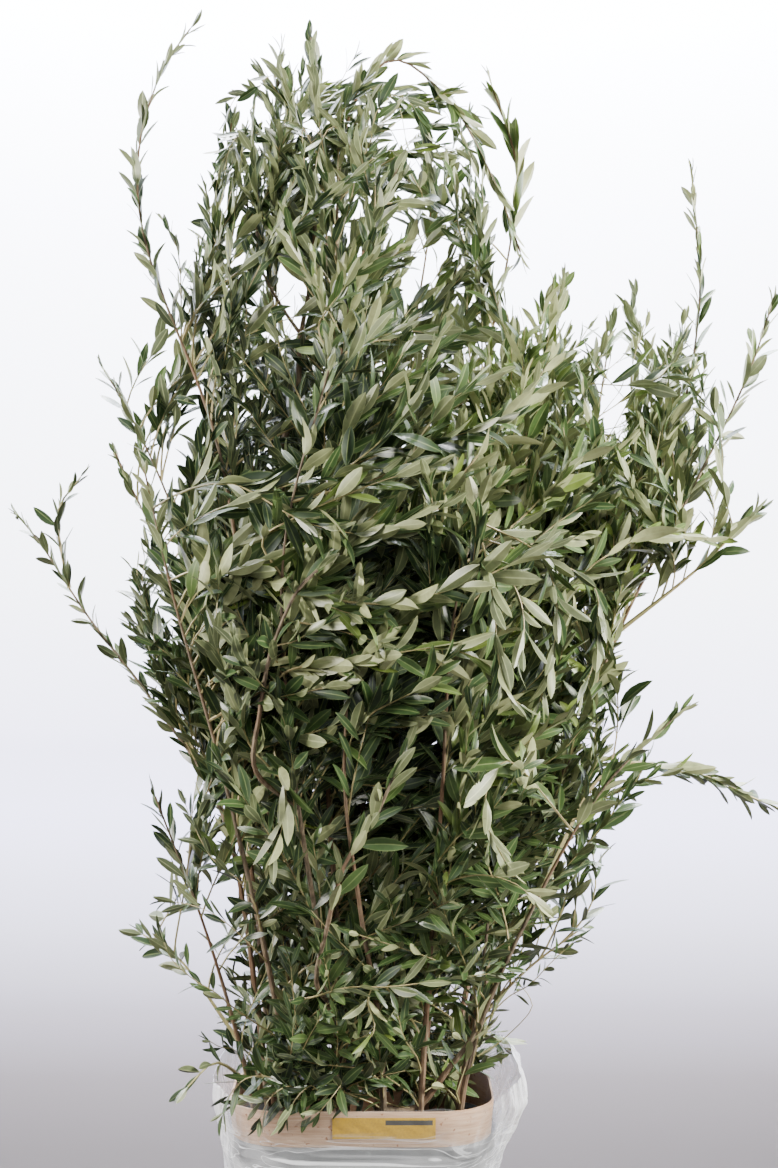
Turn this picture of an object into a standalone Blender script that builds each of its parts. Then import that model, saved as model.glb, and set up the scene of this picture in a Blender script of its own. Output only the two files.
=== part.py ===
# Cut olive branches standing in an oblong bucket with a collar, wrapped in clear film.
# Metres, +Z up. The origin is the middle of the bucket's underside, and -Y is the front.
import math
import random

import bmesh
import bpy
from mathutils import Vector
from mathutils.bvhtree import BVHTree

# Bucket: outer sizes of its foot and rim, and its wall
BUCKET_HEIGHT = 0.255
BUCKET_FOOT = (0.336, 0.238)
BUCKET_RIM = (0.378, 0.280)
BUCKET_CORNER = 0.085
BUCKET_WALL = 0.0035
CORNER_STEPS = 5
GAP = 0.0003

# Collar: a thin band that stands in the bucket's mouth
COLLAR_LOW = 0.190
COLLAR_HIGH = 0.305
COLLAR_WALL = 0.003

# Label on the collar's front
LABEL_SIZE = (0.144, 0.030)
LABEL_THICKNESS = 0.0006
LABEL_MIDDLE = (0.032, 0.282)

# Film: how far its folds stand off the bucket, and how high its edge waves
FILM_THICKNESS = 0.0009
FILM_NEAR = 0.007
FILM_FOLD = 0.011
FILM_LOW = 0.006
FILM_HIGH = 0.318
FILM_WAVE = 0.020
FILM_TIGHT = 0.35
FILM_BULGE = 0.9
FILM_SQUARENESS = 0.46
FILM_SIDES = 28
FILM_LEVELS = (0.0, 0.45, 0.80, 1.0)

# Water, and the play of a stem in its hole
WATER_TOP = 0.075
STEM_PLAY = 0.0024

# Branches: stem, side shoots and leaves
SEED = 11
ROUTE_STEPS = 10
SHOOTS, LEAVES, JOINT = range(3)
END = -1
STEM_SIDES = 5
STEM_RADIUS = 0.0078
LIMB_RADIUS = 0.0036
TIP_RADIUS = 0.0015
SHOOT_RADIUS = 0.0016
STEM_STRAIGHT = 0.13
FOLIAGE_FROM = 0.35
LIMB_START = 0.05
ZONE = 0.008
TWIG_ZONE = 0.005
ZONE_SPACING = 0.42
ZONE_PHASE = (0.05, 0.95)
JOINT_ROOM = 0.024
LONGEST_RUN = 0.30
MOST_TURN = math.radians(16)
WHIP_SPACING = 0.105
WHIP_PHASE = 0.3
SHOOT_LENGTH = (0.12, 0.18)
SHOOT_LEAN = (34, 58)
SHOOT_PAIRS = (0.46, 0.90)
SHOOT_START = 0.012
SHOOT_ROOT = 0.25
SHOOT_TAPER = 0.3
SHOOT_MIDDLE = 0.45
SHOOT_DRIFT = 0.25
SHOOT_TRIES = 6
LEAF_LENGTH = (0.066, 0.090)
LEAF_WIDTH = (0.0185, 0.0230)
LEAF_THICKNESS = 0.0014
LEAF_LEAN = (26, 44)
LEAF_BEND = (-0.03, 0.12)
LEAF_ROLL = (-0.35, 0.0)
LEAF_ROOT = 0.20
LEAF_END = 0.02
LEAF_STATIONS = ((0.38, 1.0), (0.72, 0.70))
LEAF_TRIES = 3
LEAF_DRIFT = 0.12
END_DRIFT = 0.25
LEAF_COLOUR = (0.13, 0.19, 0.09)
CLEARANCE = 0.0006

# Fruitlets: the radius of each, at the tip of its branch, and the angles of its rings
FRUITLETS = {"branch_04": 0.005, "branch_07": 0.0028}
FRUITLET_STRETCH = 1.25
FRUITLET_TURNS = (22, 55, 90, 125, 155)

# The way side shoots tend to grow
SWEEP = Vector((0.30, -0.05, 0.45))
SWEEP_SHARE = (0.1, 0.5)

# Each branch: where its cut end stands, the line of its stem above the bucket, the length of its
# bare whip of leaves at the tip, and its side limbs (where they leave the stem, line, whip)
BRANCHES = {
    "branch_01": ((-0.125, -0.072), ((-0.165, -0.10, 0.36), (-0.215, -0.13, 0.55),
        (-0.285, -0.15, 0.745)), 0.16,
        ((0.52, ((-0.255, -0.07, 0.50), (-0.315, -0.04, 0.535)), 0.09),
         (0.44, ((-0.20, -0.165, 0.38), (-0.235, -0.20, 0.355)), 0.07))),
    "branch_02": ((-0.075, -0.072), ((-0.11, -0.11, 0.40), (-0.18, -0.19, 0.75), (-0.25, -0.24, 1.02),
        (-0.29, -0.25, 1.20)), 0.14, ()),
    "branch_03": ((-0.025, -0.072), ((-0.04, -0.13, 0.42), (-0.09, -0.24, 0.80), (-0.10, -0.29, 1.08),
        (-0.04, -0.31, 1.32)), 0.14, ()),
    "branch_04": ((0.025, -0.072), ((0.03, -0.13, 0.38), (0.0, -0.22, 0.60), (-0.02, -0.29, 0.80),
        (0.0, -0.30, 1.045)), 0.14, ()),
    "branch_05": ((0.075, -0.072), ((0.09, -0.13, 0.42), (0.11, -0.23, 0.75), (0.125, -0.29, 1.0),
        (0.18, -0.30, 1.22)), 0.14, ()),
    "branch_06": ((0.125, -0.072), ((0.155, -0.11, 0.38), (0.24, -0.17, 0.60), (0.33, -0.20, 0.76),
        (0.435, -0.20, 0.865)), 0.16,
        ((0.66, ((0.34, -0.10, 0.77), (0.45, -0.06, 0.775), (0.605, -0.03, 0.715)), 0.26),)),
    "branch_07": ((-0.125, -0.024), ((-0.15, -0.03, 0.42), (-0.20, -0.02, 0.70), (-0.30, 0.0, 0.86),
        (-0.40, 0.01, 0.99), (-0.465, 0.01, 1.09), (-0.50, 0.01, 1.135)), 0.42,
        ((0.90, ((-0.445, 0.0, 1.14), (-0.41, -0.01, 1.195)), 0.06),)),
    "branch_08": ((-0.075, -0.024), ((-0.10, -0.04, 0.45), (-0.15, -0.07, 0.85), (-0.20, -0.08, 1.22),
        (-0.30, -0.08, 1.50), (-0.318, -0.08, 1.64), (-0.288, -0.07, 1.765),
        (-0.245, -0.06, 1.835)), 0.46, ()),
    "branch_09": ((-0.025, -0.024), ((-0.03, -0.05, 0.45), (-0.05, -0.12, 0.85), (-0.04, -0.17, 1.2),
        (-0.01, -0.17, 1.45), (0.06, -0.15, 1.64)), 0.16, ()),
    "branch_10": ((0.025, -0.024), ((0.02, -0.03, 0.45), (-0.01, -0.04, 0.9), (-0.03, -0.05, 1.35),
        (-0.03, -0.05, 1.66), (0.035, -0.05, 1.79), (0.12, -0.07, 1.735), (0.185, -0.08, 1.62),
        (0.225, -0.09, 1.51)), 0.42, ()),
    "branch_11": ((0.075, -0.024), ((0.10, -0.04, 0.45), (0.17, -0.08, 0.85), (0.23, -0.10, 1.2),
        (0.285, -0.09, 1.46)), 0.14, ()),
    "branch_12": ((0.125, -0.024), ((0.165, -0.03, 0.42), (0.27, -0.06, 0.72), (0.37, -0.07, 0.98),
        (0.47, -0.06, 1.17), (0.55, -0.05, 1.33), (0.59, -0.04, 1.44)), 0.30,
        ((0.66, ((0.47, -0.12, 1.06), (0.55, -0.13, 1.14)), 0.12),)),
    "branch_13": ((-0.125, 0.024), ((-0.145, 0.03, 0.45), (-0.20, 0.05, 0.85), (-0.27, 0.03, 1.12),
        (-0.335, 0.0, 1.28), (-0.375, -0.01, 1.35)), 0.16, ()),
    "branch_14": ((-0.075, 0.024), ((-0.085, 0.03, 0.45), (-0.11, 0.03, 0.9), (-0.12, 0.02, 1.3),
        (-0.14, 0.02, 1.6), (-0.12, 0.03, 1.82)), 0.18, ()),
    "branch_15": ((-0.025, 0.024), ((-0.03, 0.05, 0.5), (-0.04, 0.10, 0.95), (-0.05, 0.13, 1.35),
        (-0.06, 0.13, 1.65), (-0.08, 0.12, 1.87)), 0.18, ()),
    "branch_16": ((0.025, 0.024), ((0.03, 0.04, 0.5), (0.04, 0.06, 0.95), (0.06, 0.07, 1.3),
        (0.10, 0.08, 1.58), (0.09, 0.08, 1.69)), 0.14, ()),
    "branch_17": ((0.075, 0.024), ((0.085, 0.03, 0.5), (0.13, 0.03, 0.95), (0.17, 0.02, 1.3),
        (0.215, 0.0, 1.53), (0.225, 0.0, 1.65), (0.19, 0.0, 1.765)), 0.24, ()),
    "branch_18": ((0.125, 0.024), ((0.16, 0.03, 0.42), (0.27, 0.05, 0.75), (0.37, 0.06, 1.02),
        (0.46, 0.04, 1.25), (0.495, 0.02, 1.45), (0.483, 0.01, 1.64)), 0.36,
        ((0.22, ((0.235, 0.01, 0.47), (0.32, -0.01, 0.54)), 0.08),)),
    "branch_19": ((-0.125, 0.072), ((-0.15, 0.10, 0.42), (-0.22, 0.17, 0.78), (-0.30, 0.19, 1.05),
        (-0.38, 0.15, 1.24)), 0.16, ()),
    "branch_20": ((-0.075, 0.072), ((-0.09, 0.10, 0.45), (-0.15, 0.17, 0.9), (-0.20, 0.19, 1.3),
        (-0.225, 0.15, 1.58), (-0.20, 0.12, 1.74)), 0.18, ()),
    "branch_21": ((-0.025, 0.072), ((-0.03, 0.13, 0.45), (-0.07, 0.25, 0.85), (-0.09, 0.30, 1.15),
        (-0.12, 0.31, 1.42)), 0.14, ()),
    "branch_22": ((0.025, 0.072), ((0.03, 0.11, 0.5), (0.04, 0.20, 0.95), (0.03, 0.25, 1.35),
        (0.02, 0.24, 1.66)), 0.16,
        ((0.30, ((0.01, 0.24, 0.66), (-0.01, 0.30, 0.82)), 0.09),)),
    "branch_23": ((0.075, 0.072), ((0.09, 0.12, 0.45), (0.14, 0.24, 0.85), (0.17, 0.29, 1.15),
        (0.20, 0.28, 1.42)), 0.14, ()),
    "branch_24": ((0.125, 0.072), ((0.155, 0.11, 0.42), (0.25, 0.18, 0.78), (0.33, 0.20, 1.1),
        (0.38, 0.14, 1.44)), 0.14,
        ((0.42, ((0.30, 0.26, 0.82), (0.36, 0.28, 0.97)), 0.09),)),
}


def clear_scene():
    for thing in list(bpy.data.objects):
        bpy.data.objects.remove(thing, do_unlink=True)


def new_collection(name):
    group = bpy.data.collections.new(name)
    bpy.context.scene.collection.children.link(group)
    return group


def material(name, colour, roughness, alpha=1.0):
    made = bpy.data.materials.new(name)
    made.use_nodes = True
    shader = made.node_tree.nodes["Principled BSDF"]
    shader.inputs["Base Color"].default_value = (*colour, 1)
    shader.inputs["Roughness"].default_value = roughness
    shader.inputs["Metallic"].default_value = 0
    shader.inputs["Alpha"].default_value = alpha
    return made


def mesh_object(bm, name, finish, group):
    mesh = bpy.data.meshes.new(name)
    bm.to_mesh(mesh)
    bm.free()
    mesh.materials.append(finish)
    thing = bpy.data.objects.new(name, mesh)
    group.objects.link(thing)
    return thing


def oblong_block(low, high, low_size, high_size, corner):
    """An upright block with rounded upright edges, whose size changes evenly from low to high."""
    bm = bmesh.new()
    bmesh.ops.create_cube(bm, size=1)
    for vert in bm.verts:
        width, depth = high_size if vert.co.z > 0 else low_size
        vert.co = (vert.co.x * width, vert.co.y * depth, high if vert.co.z > 0 else low)
    upright = [e for e in bm.edges if abs(e.verts[0].co.z - e.verts[1].co.z) > (high - low) / 2]
    bmesh.ops.bevel(bm, geom=upright, offset=corner, segments=CORNER_STEPS, profile=0.5, affect="EDGES")
    return bm


def bucket_size(z, inset=0.0):
    """The bucket's outer width and depth at a height, less an inset all round."""
    share = z / BUCKET_HEIGHT
    return tuple(foot + (rim - foot) * share - 2 * inset for foot, rim in zip(BUCKET_FOOT, BUCKET_RIM))


def open_up(bm, floor_too):
    ends = [f for f in bm.faces if f.normal.z > 0.9 or (floor_too and f.normal.z < -0.9)]
    bmesh.ops.delete(bm, geom=ends, context="FACES_ONLY")


def make_bucket(group):
    bm = oblong_block(0, BUCKET_HEIGHT, BUCKET_FOOT, BUCKET_RIM, BUCKET_CORNER)
    bm.normal_update()
    open_up(bm, floor_too=False)
    bucket = mesh_object(bm, "bucket", material("bucket plastic", (0.16, 0.17, 0.17), 0.45), group)
    wall = bucket.modifiers.new("wall", "SOLIDIFY")
    wall.thickness = BUCKET_WALL
    wall.offset = -1
    wall.use_even_offset = True
    return bucket


def make_collar(group):
    inset = BUCKET_WALL + GAP
    low_size = bucket_size(COLLAR_LOW, inset)
    high_size = bucket_size(COLLAR_HIGH, inset)
    bm = oblong_block(COLLAR_LOW, COLLAR_HIGH, low_size, high_size, BUCKET_CORNER - inset)
    bm.normal_update()
    open_up(bm, floor_too=True)
    collar = mesh_object(bm, "collar", material("collar board", (0.72, 0.56, 0.38), 0.7), group)
    wall = collar.modifiers.new("wall", "SOLIDIFY")
    wall.thickness = COLLAR_WALL
    wall.offset = -1
    return collar


def make_label(group):
    """A thin plate on the collar's front, leaning as the collar's wall does."""
    x, z = LABEL_MIDDLE
    width, height = LABEL_SIZE
    inset = BUCKET_WALL + GAP
    bm = bmesh.new()
    bmesh.ops.create_cube(bm, size=1)
    for vert in bm.verts:
        level = z + vert.co.z * height
        face = -bucket_size(level, inset)[1] / 2 - GAP
        out = LABEL_THICKNESS if vert.co.y < 0 else 0
        vert.co = (x + vert.co.x * width, face - out, level)
    return mesh_object(bm, "label", material("yellow paper", (0.75, 0.47, 0.03), 0.6), group)


def film_point(turn, share):
    """A point of the film at a turn round the bucket and a share of its height."""
    wave = math.sin(turn + 0.4) + 0.35 * math.sin(3 * turn + 1.0)
    z = FILM_LOW + (FILM_HIGH + FILM_WAVE * wave - FILM_LOW) * share
    width, depth = bucket_size(min(z, COLLAR_HIGH))
    fold = 0.5 + 0.30 * math.sin(5 * turn + 2.2 * share) + 0.20 * math.sin(11 * turn - 1.6 * share)
    flare = FILM_TIGHT + (1 - FILM_TIGHT) * share
    bulge = 1 + FILM_BULGE * max(0.0, math.cos(turn + 0.25)) ** 3
    across = math.copysign(abs(math.cos(turn)) ** FILM_SQUARENESS, math.cos(turn))
    along = math.copysign(abs(math.sin(turn)) ** FILM_SQUARENESS, math.sin(turn))
    corner = Vector((across * width / 2, along * depth / 2, 0))
    out = FILM_NEAR + FILM_FOLD * fold * flare * bulge
    return Vector((corner.x, corner.y, z)) + corner.normalized() * out


def make_film(group):
    """An open sleeve of folds that gets its thickness outwards."""
    bm = bmesh.new()
    rings = []
    for share in FILM_LEVELS:
        turns = (2 * math.pi * (i + 0.5) / FILM_SIDES for i in range(FILM_SIDES))
        ring = [bm.verts.new(film_point(turn, share)) for turn in turns]
        rings.append([bm.edges.new((a, b)) for a, b in zip(ring, ring[1:] + ring[:1])])
    for low, high in zip(rings, rings[1:]):
        bmesh.ops.bridge_loops(bm, edges=low + high)
    bmesh.ops.recalc_face_normals(bm, faces=bm.faces)
    film = mesh_object(bm, "film", material("clear film", (0.85, 0.87, 0.90), 0.15, alpha=0.35), group)
    wall = film.modifiers.new("wall", "SOLIDIFY")
    wall.thickness = FILM_THICKNESS
    wall.offset = 0
    return film


def make_water(group, cutters, feet):
    low = BUCKET_WALL + GAP
    inset = BUCKET_WALL + 4 * GAP
    low_size = bucket_size(low, inset)
    high_size = bucket_size(WATER_TOP, inset)
    bm = oblong_block(low, WATER_TOP, low_size, high_size, BUCKET_CORNER - inset)
    water = mesh_object(bm, "water", material("water", (0.30, 0.34, 0.28), 0.05, alpha=0.5), group)
    bm = bmesh.new()
    for x, y in feet:
        made = bmesh.ops.create_cone(bm, cap_ends=True, segments=STEM_SIDES, depth=4 * WATER_TOP,
            radius1=STEM_RADIUS + STEM_PLAY, radius2=STEM_RADIUS + STEM_PLAY)
        bmesh.ops.translate(bm, verts=made["verts"], vec=(x, y, 0))
    holes = mesh_object(bm, "stem_holes", water.data.materials[0], cutters)
    holes.hide_render = True
    holes.display_type = "WIRE"
    cut = water.modifiers.new("stem holes", "BOOLEAN")
    cut.object = holes
    cut.operation = "DIFFERENCE"
    return water


class Route:
    """A smooth line through a few points, with a frame that turns as little as it can."""

    def __init__(self, points, side=None):
        points = [Vector(p) for p in points]
        ends = [2 * points[0] - points[1], *points, 2 * points[-1] - points[-2]]
        self.line = [points[0]]
        for before, start, end, after in zip(ends, ends[1:], ends[2:], ends[3:]):
            for i in range(1, ROUTE_STEPS + 1):
                t = i / ROUTE_STEPS
                square = (2 * before - 5 * start + 4 * end - after) * t ** 2
                cube = (3 * start - before - 3 * end + after) * t ** 3
                self.line.append((2 * start + (end - before) * t + square + cube) / 2)
        self.run = [0.0]
        for a, b in zip(self.line, self.line[1:]):
            self.run.append(self.run[-1] + (b - a).length)
        self.length = self.run[-1]
        self.ways = [(b - a).normalized() for a, b in zip(self.line, self.line[1:])]
        across = side if side is not None else Vector((1, 0, 0))
        self.across = []
        for way in self.ways:
            across = (across - way * across.dot(way)).normalized()
            self.across.append(across)

    def at(self, s):
        """The point at a distance along the line, with its direction and two sides."""
        i = 0
        while i < len(self.ways) - 1 and self.run[i + 1] < s:
            i += 1
        way, side = self.ways[i], self.across[i]
        return self.line[i] + way * (s - self.run[i]), way, side, way.cross(side)

    def end(self, beyond):
        return self.line[-1] + self.ways[-1] * beyond

    def ring(self, s, radius, sides=3):
        """Corners evenly round the line."""
        point, _, side, over = self.at(s)
        turns = [2 * math.pi * k / sides for k in range(sides)]
        return [point + (side * math.cos(a) + over * math.sin(a)) * radius for a in turns]


class Growth:
    """Rings drawn out one after another from a root face, the tip, and what grows from the sides."""

    def __init__(self, root, rings, tip=None):
        self.root = root
        self.rings = rings
        self.tip = tip
        self.children = []

    def corners(self, segment, k):
        """The upper half of a side face of a segment, or the end face, listed as seen from outside."""
        if segment == END:
            return self.rings[-1]
        stack = [self.root, *self.rings]
        low, high = stack[segment], stack[segment + 1]
        return [low[k], high[(k + 1) % len(high)], high[k]]


class Guard:
    """The skins of all that stands somewhere, a little larger than the real ones."""

    def __init__(self):
        self.skins = []

    def skin(self, rings):
        points, faces = [], []
        for ring in rings:
            middle = sum(ring, Vector()) / len(ring)
            points += [p + (p - middle).normalized() * CLEARANCE for p in ring]
        n = len(rings[0])
        for i in range(0, len(points) - n, n):
            for k in range(n):
                a, b = i + k, i + (k + 1) % n
                faces += [(a, b, b + n), (a, b + n, a + n)]
        low = Vector(map(min, zip(*points)))
        high = Vector(map(max, zip(*points)))
        return BVHTree.FromPolygons(points, faces), low, high

    def clear(self, rings):
        """Whether the rings' skin neither meets another skin nor lies inside one."""
        tree, low, high = self.skin(rings)
        end = middle_of(rings[-1])
        for other, other_low, other_high in self.skins:
            if any(low[i] > other_high[i] or high[i] < other_low[i] for i in range(3)):
                continue
            place, normal, _, _ = other.find_nearest(end)
            if tree.overlap(other) or normal.dot(end - place) < 0:
                return False
        return True

    def add(self, rings):
        self.skins.append(self.skin(rings))

    def add_object(self, thing):
        graph = bpy.context.evaluated_depsgraph_get()
        solid = thing.evaluated_get(graph)
        box = [Vector(corner) for corner in solid.bound_box]
        low = Vector(map(min, zip(*box)))
        high = Vector(map(max, zip(*box)))
        self.skins.append((BVHTree.FromObject(thing, graph), low, high))


def middle_of(corners):
    return sum(corners, Vector()) / len(corners)


def any_way(rng, most):
    return Vector([rng.uniform(-most, most) for _ in range(3)])


def between(low, high, share):
    """A ring between two rings, at a share of the way."""
    return [a.lerp(b, share) for a, b in zip(low, high)]


def outward(corners):
    return (corners[1] - corners[0]).cross(corners[2] - corners[0]).normalized()


def plan_leaf(corners, way, rng):
    """A lance-shaped blade with a rib underneath, bent back towards its tip, and its skin for the guard."""
    length = rng.uniform(*LEAF_LENGTH)
    half = rng.uniform(*LEAF_WIDTH) / 2
    bend = rng.uniform(*LEAF_BEND) * length
    way = way.normalized()
    wide = corners[1] - corners[2]
    wide = (wide - way * wide.dot(way)).normalized()
    wide = (wide + way.cross(wide) * rng.uniform(*LEAF_ROLL)).normalized()
    face = way.cross(wide)
    start = middle_of(corners)
    rings = []
    for share, fullness in LEAF_STATIONS:
        middle = start + way * length * share - face * bend * share ** 2
        margin = wide * half * fullness
        rings.append([middle - face * LEAF_THICKNESS, middle + margin, middle - margin])
    tip = start + way * length - face * bend
    near = between(corners, rings[0], LEAF_ROOT)
    end = [tip.lerp(p, LEAF_END) for p in rings[-1]]
    return Growth(corners, rings, tip), [near, *rings, end]


def plan_pair(growth, segment, sides, route, s, rng, guard):
    """Grows a leaf from each of the sides of a segment, where there is room."""
    way = route.at(s)[1]
    for k in sides:
        corners = growth.corners(segment, k)
        for _ in range(LEAF_TRIES):
            lean = math.radians(rng.uniform(*LEAF_LEAN))
            drift = any_way(rng, LEAF_DRIFT)
            heading = way * math.cos(lean) + outward(corners) * math.sin(lean) + drift
            blade, skin = plan_leaf(corners, heading, rng)
            if guard.clear(skin):
                guard.add(skin)
                growth.children.append((segment, k, blade))
                break


def plan_end_leaf(growth, route, rng, guard):
    corners = growth.rings[-1]
    for _ in range(LEAF_TRIES):
        blade, skin = plan_leaf(corners, route.ways[-1] + any_way(rng, END_DRIFT), rng)
        if guard.clear(skin):
            guard.add(skin)
            growth.children.append((END, 0, blade))
            return


def plan_shoot(corners, way, rng, guard):
    """A thin twig with two pairs of leaves and one at its end, or None where it has no room."""
    start = middle_of(corners)
    for _ in range(SHOOT_TRIES):
        lean = math.radians(rng.uniform(*SHOOT_LEAN))
        length = rng.uniform(*SHOOT_LENGTH)
        heading = way * math.cos(lean) + outward(corners) * math.sin(lean)
        heading = (heading + any_way(rng, SHOOT_DRIFT)).normalized()
        end = start + (heading + SWEEP * rng.uniform(*SWEEP_SHARE)).normalized() * length
        route = Route([start, start + heading * length * SHOOT_MIDDLE, end], side=corners[0] - start)
        places = [share * route.length for share in SHOOT_PAIRS]
        stops = [SHOOT_START]
        stops += [stop for place in places for stop in (place - TWIG_ZONE / 2, place + TWIG_ZONE / 2)]
        rings = [route.ring(stop, SHOOT_RADIUS * (1 - SHOOT_TAPER * stop / route.length)) for stop in stops]
        shoot = Growth(corners, rings)
        skin = [between(corners, rings[0], SHOOT_ROOT), *rings]
        if not guard.clear(skin):
            continue
        guard.add(skin)
        for side, place in enumerate(places):
            plan_pair(shoot, 2 * side + 2, (side, side + 1), route, place, rng, guard)
        plan_end_leaf(shoot, route, rng, guard)
        return shoot
    return None


class Limb:
    """A stem or side limb: its line, its rings with their places, and the zones where things grow."""

    def __init__(self, route, sides, radius, whip, first, joints, rng, root=None, fruitlet=0):
        self.route, self.sides, self.radius = route, sides, radius
        self.root, self.fruitlet, self.rng = root, fruitlet, rng
        self.zones = []
        last = route.length - whip
        count = max(0, round((last - first) / ZONE_SPACING))
        phase = rng.uniform(*ZONE_PHASE)
        for i in range(count):
            self.zones.append((first + (last - first) * (i + phase) / count, SHOOTS))
            self.zones.append((first + (last - first) * (i + (phase + 0.5) % 1) / count, LEAVES))
        count = max(1, round(whip / WHIP_SPACING))
        for i in range(count):
            self.zones.append((last + whip * (i + WHIP_PHASE) / count, LEAVES))
        for joint in joints:
            self.zones = [zone for zone in self.zones if abs(zone[0] - joint) > JOINT_ROOM]
            self.zones.append((joint, JOINT))
        self.zones.sort()
        self.plan()

    def plan(self):
        """Sets the rings: two at each zone, and more along the bends between them."""
        self.places = [] if self.root else [0.0, STEM_STRAIGHT]
        for place, kind in self.zones:
            last = self.places[-1] if self.places else 0.0
            half = (TWIG_ZONE if kind == LEAVES else ZONE) / 2
            turned = self.route.at(last)[1].angle(self.route.at(place)[1])
            gaps = math.ceil(max((place - half - last) / LONGEST_RUN, turned / MOST_TURN))
            self.places += [last + (place - half - last) * i / gaps for i in range(1, gaps)]
            self.places += [place - half, place + half]
        rings = []
        for s in self.places:
            radius = TIP_RADIUS + (self.radius - TIP_RADIUS) * (1 - s / self.route.length)
            rings.append(self.route.ring(s, radius, self.sides))
        if self.fruitlet:
            for turn in map(math.radians, FRUITLET_TURNS):
                s = self.route.length + self.fruitlet * FRUITLET_STRETCH * (1 - math.cos(turn))
                rings.append(self.route.ring(s, self.fruitlet * math.sin(turn), self.sides))
        self.growth = Growth(self.root or rings[0], rings[0 if self.root else 1:])
        self.skin = [between(self.root, rings[0], SHOOT_ROOT), *rings] if self.root else rings

    def segment(self, place):
        """The index of the short segment at a zone."""
        after = next(i for i, s in enumerate(self.places) if s > place)
        return after if self.root else after - 1

    def best_side(self, segment, towards):
        return max(range(self.sides), key=lambda k: outward(self.growth.corners(segment, k)).dot(towards))

    def dress(self, guard):
        """Grows shoots and leaves from the zones."""
        turn = self.rng.randrange(self.sides)
        for place, kind in self.zones:
            if kind == JOINT:
                continue
            segment = self.segment(place)
            turn += 1
            faces = [turn % self.sides, (turn + self.sides // 2) % self.sides]
            if kind == LEAVES:
                plan_pair(self.growth, segment, faces, self.route, place, self.rng, guard)
                continue
            for k in faces:
                shoot = plan_shoot(self.growth.corners(segment, k), self.route.at(place)[1], self.rng, guard)
                if shoot:
                    self.growth.children.append((segment, k, shoot))
        if self.root:
            plan_end_leaf(self.growth, self.route, self.rng, guard)
        else:
            self.growth.tip = self.route.end(2 * FRUITLET_STRETCH * self.fruitlet)


def plan_branches(guard):
    """Plans every branch, all stems and limbs first and then what grows from them."""
    branches = {}
    for number, (name, (foot, line, whip, sides)) in enumerate(BRANCHES.items()):
        rng = random.Random(SEED + number)
        low = BUCKET_WALL + GAP
        route = Route([(*foot, low), (*foot, STEM_STRAIGHT), *line])
        first = next(s for s in route.run if route.at(s)[0].z > FOLIAGE_FROM)
        joints = [share * route.length for share, _, _ in sides]
        fruitlet = FRUITLETS.get(name, 0)
        stem = Limb(route, STEM_SIDES, STEM_RADIUS, whip, first, joints, rng, fruitlet=fruitlet)
        branches[name] = [stem]
    for name, (_, _, _, sides) in BRANCHES.items():
        stem = branches[name][0]
        for share, line, whip in sides:
            place = share * stem.route.length
            segment = stem.segment(place)
            k = stem.best_side(segment, Vector(line[0]) - stem.route.at(place)[0])
            corners = stem.growth.corners(segment, k)
            start = middle_of(corners)
            route = Route([start, *line], side=corners[0] - start)
            limb = Limb(route, 3, LIMB_RADIUS, whip, LIMB_START, (), stem.rng, root=corners)
            stem.growth.children.append((segment, k, limb.growth))
            branches[name].append(limb)
    for limbs in branches.values():
        for limb in limbs:
            guard.add(limb.skin)
    for turn in range(2):
        for limbs in branches.values():
            for limb in limbs[:1] if turn else limbs[1:]:
                limb.dress(guard)
    return {name: limbs[0].growth for name, limbs in branches.items()}


def foot_of(vert, top):
    """The corner below a corner of an upright prism's top face."""
    return next(e.other_vert(vert) for e in vert.link_edges if e.other_vert(vert) not in top.verts)


def start_solid(bm, growth):
    """A short prism between the first two rings, as a primitive whose corners are then placed."""
    bmesh.ops.create_cone(bm, cap_ends=True, segments=len(growth.root), radius1=1, radius2=1, depth=1)
    top = max(bm.faces, key=lambda f: f.calc_center_median().z)
    for k, vert in enumerate(top.verts):
        foot_of(vert, top).co = growth.root[k]
        vert.co = growth.rings[0][k]
    return top


def walls_of(face, order):
    """The side faces below an end face, by the number of their first corner."""
    walls = {}
    for loop, k in zip(face.loops, order):
        walls[k] = next(f for f in loop.edge.link_faces if f is not face)
    return walls


def draw(bm, face, growth, started=False):
    """Extrudes a face through the growth's rings, closes its tip, and then draws what grows from it."""
    n = len(growth.root)
    base = growth.rings[0] if started else growth.root
    order = [min(range(n), key=lambda k: (vert.co - base[k]).length) for vert in face.verts]
    low, high = {}, dict(zip(order, face.verts))
    halves = {}
    for i, ring in enumerate(growth.rings):
        if i or not started:
            low = dict(zip(order, face.verts))
            face = bmesh.ops.extrude_discrete_faces(bm, faces=[face])["faces"][0]
            high = dict(zip(order, face.verts))
            for k, vert in high.items():
                vert.co = ring[k]
        else:
            low = {k: foot_of(vert, face) for k, vert in high.items()}
        for k, wall in walls_of(face, order).items():
            cut, _ = bmesh.utils.face_split(wall, low[k], high[(k + 1) % n])
            halves[i, k] = wall if high[k] in wall.verts else cut
    if growth.tip:
        made = bmesh.ops.poke(bm, faces=[face])
        made["verts"][0].co = growth.tip
    for segment, k, child in growth.children:
        draw(bm, face if segment == END else halves[segment, k], child)


def make_branch(name, growth, group):
    bm = bmesh.new()
    draw(bm, start_solid(bm, growth), growth, started=True)
    return mesh_object(bm, name, material(f"{name} leaves", LEAF_COLOUR, 0.5), group)


def main():
    clear_scene()
    group = new_collection("olive branches in a bucket")
    cutters = new_collection("cutters")
    bucket = make_bucket(group)
    collar = make_collar(group)
    label = make_label(group)
    film = make_film(group)
    make_water(group, cutters, [foot for foot, _, _, _ in BRANCHES.values()])
    guard = Guard()
    for thing in (bucket, collar, label, film):
        guard.add_object(thing)
    for name, growth in plan_branches(guard).items():
        make_branch(name, growth, group)


main()
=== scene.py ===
import math
import random

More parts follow.
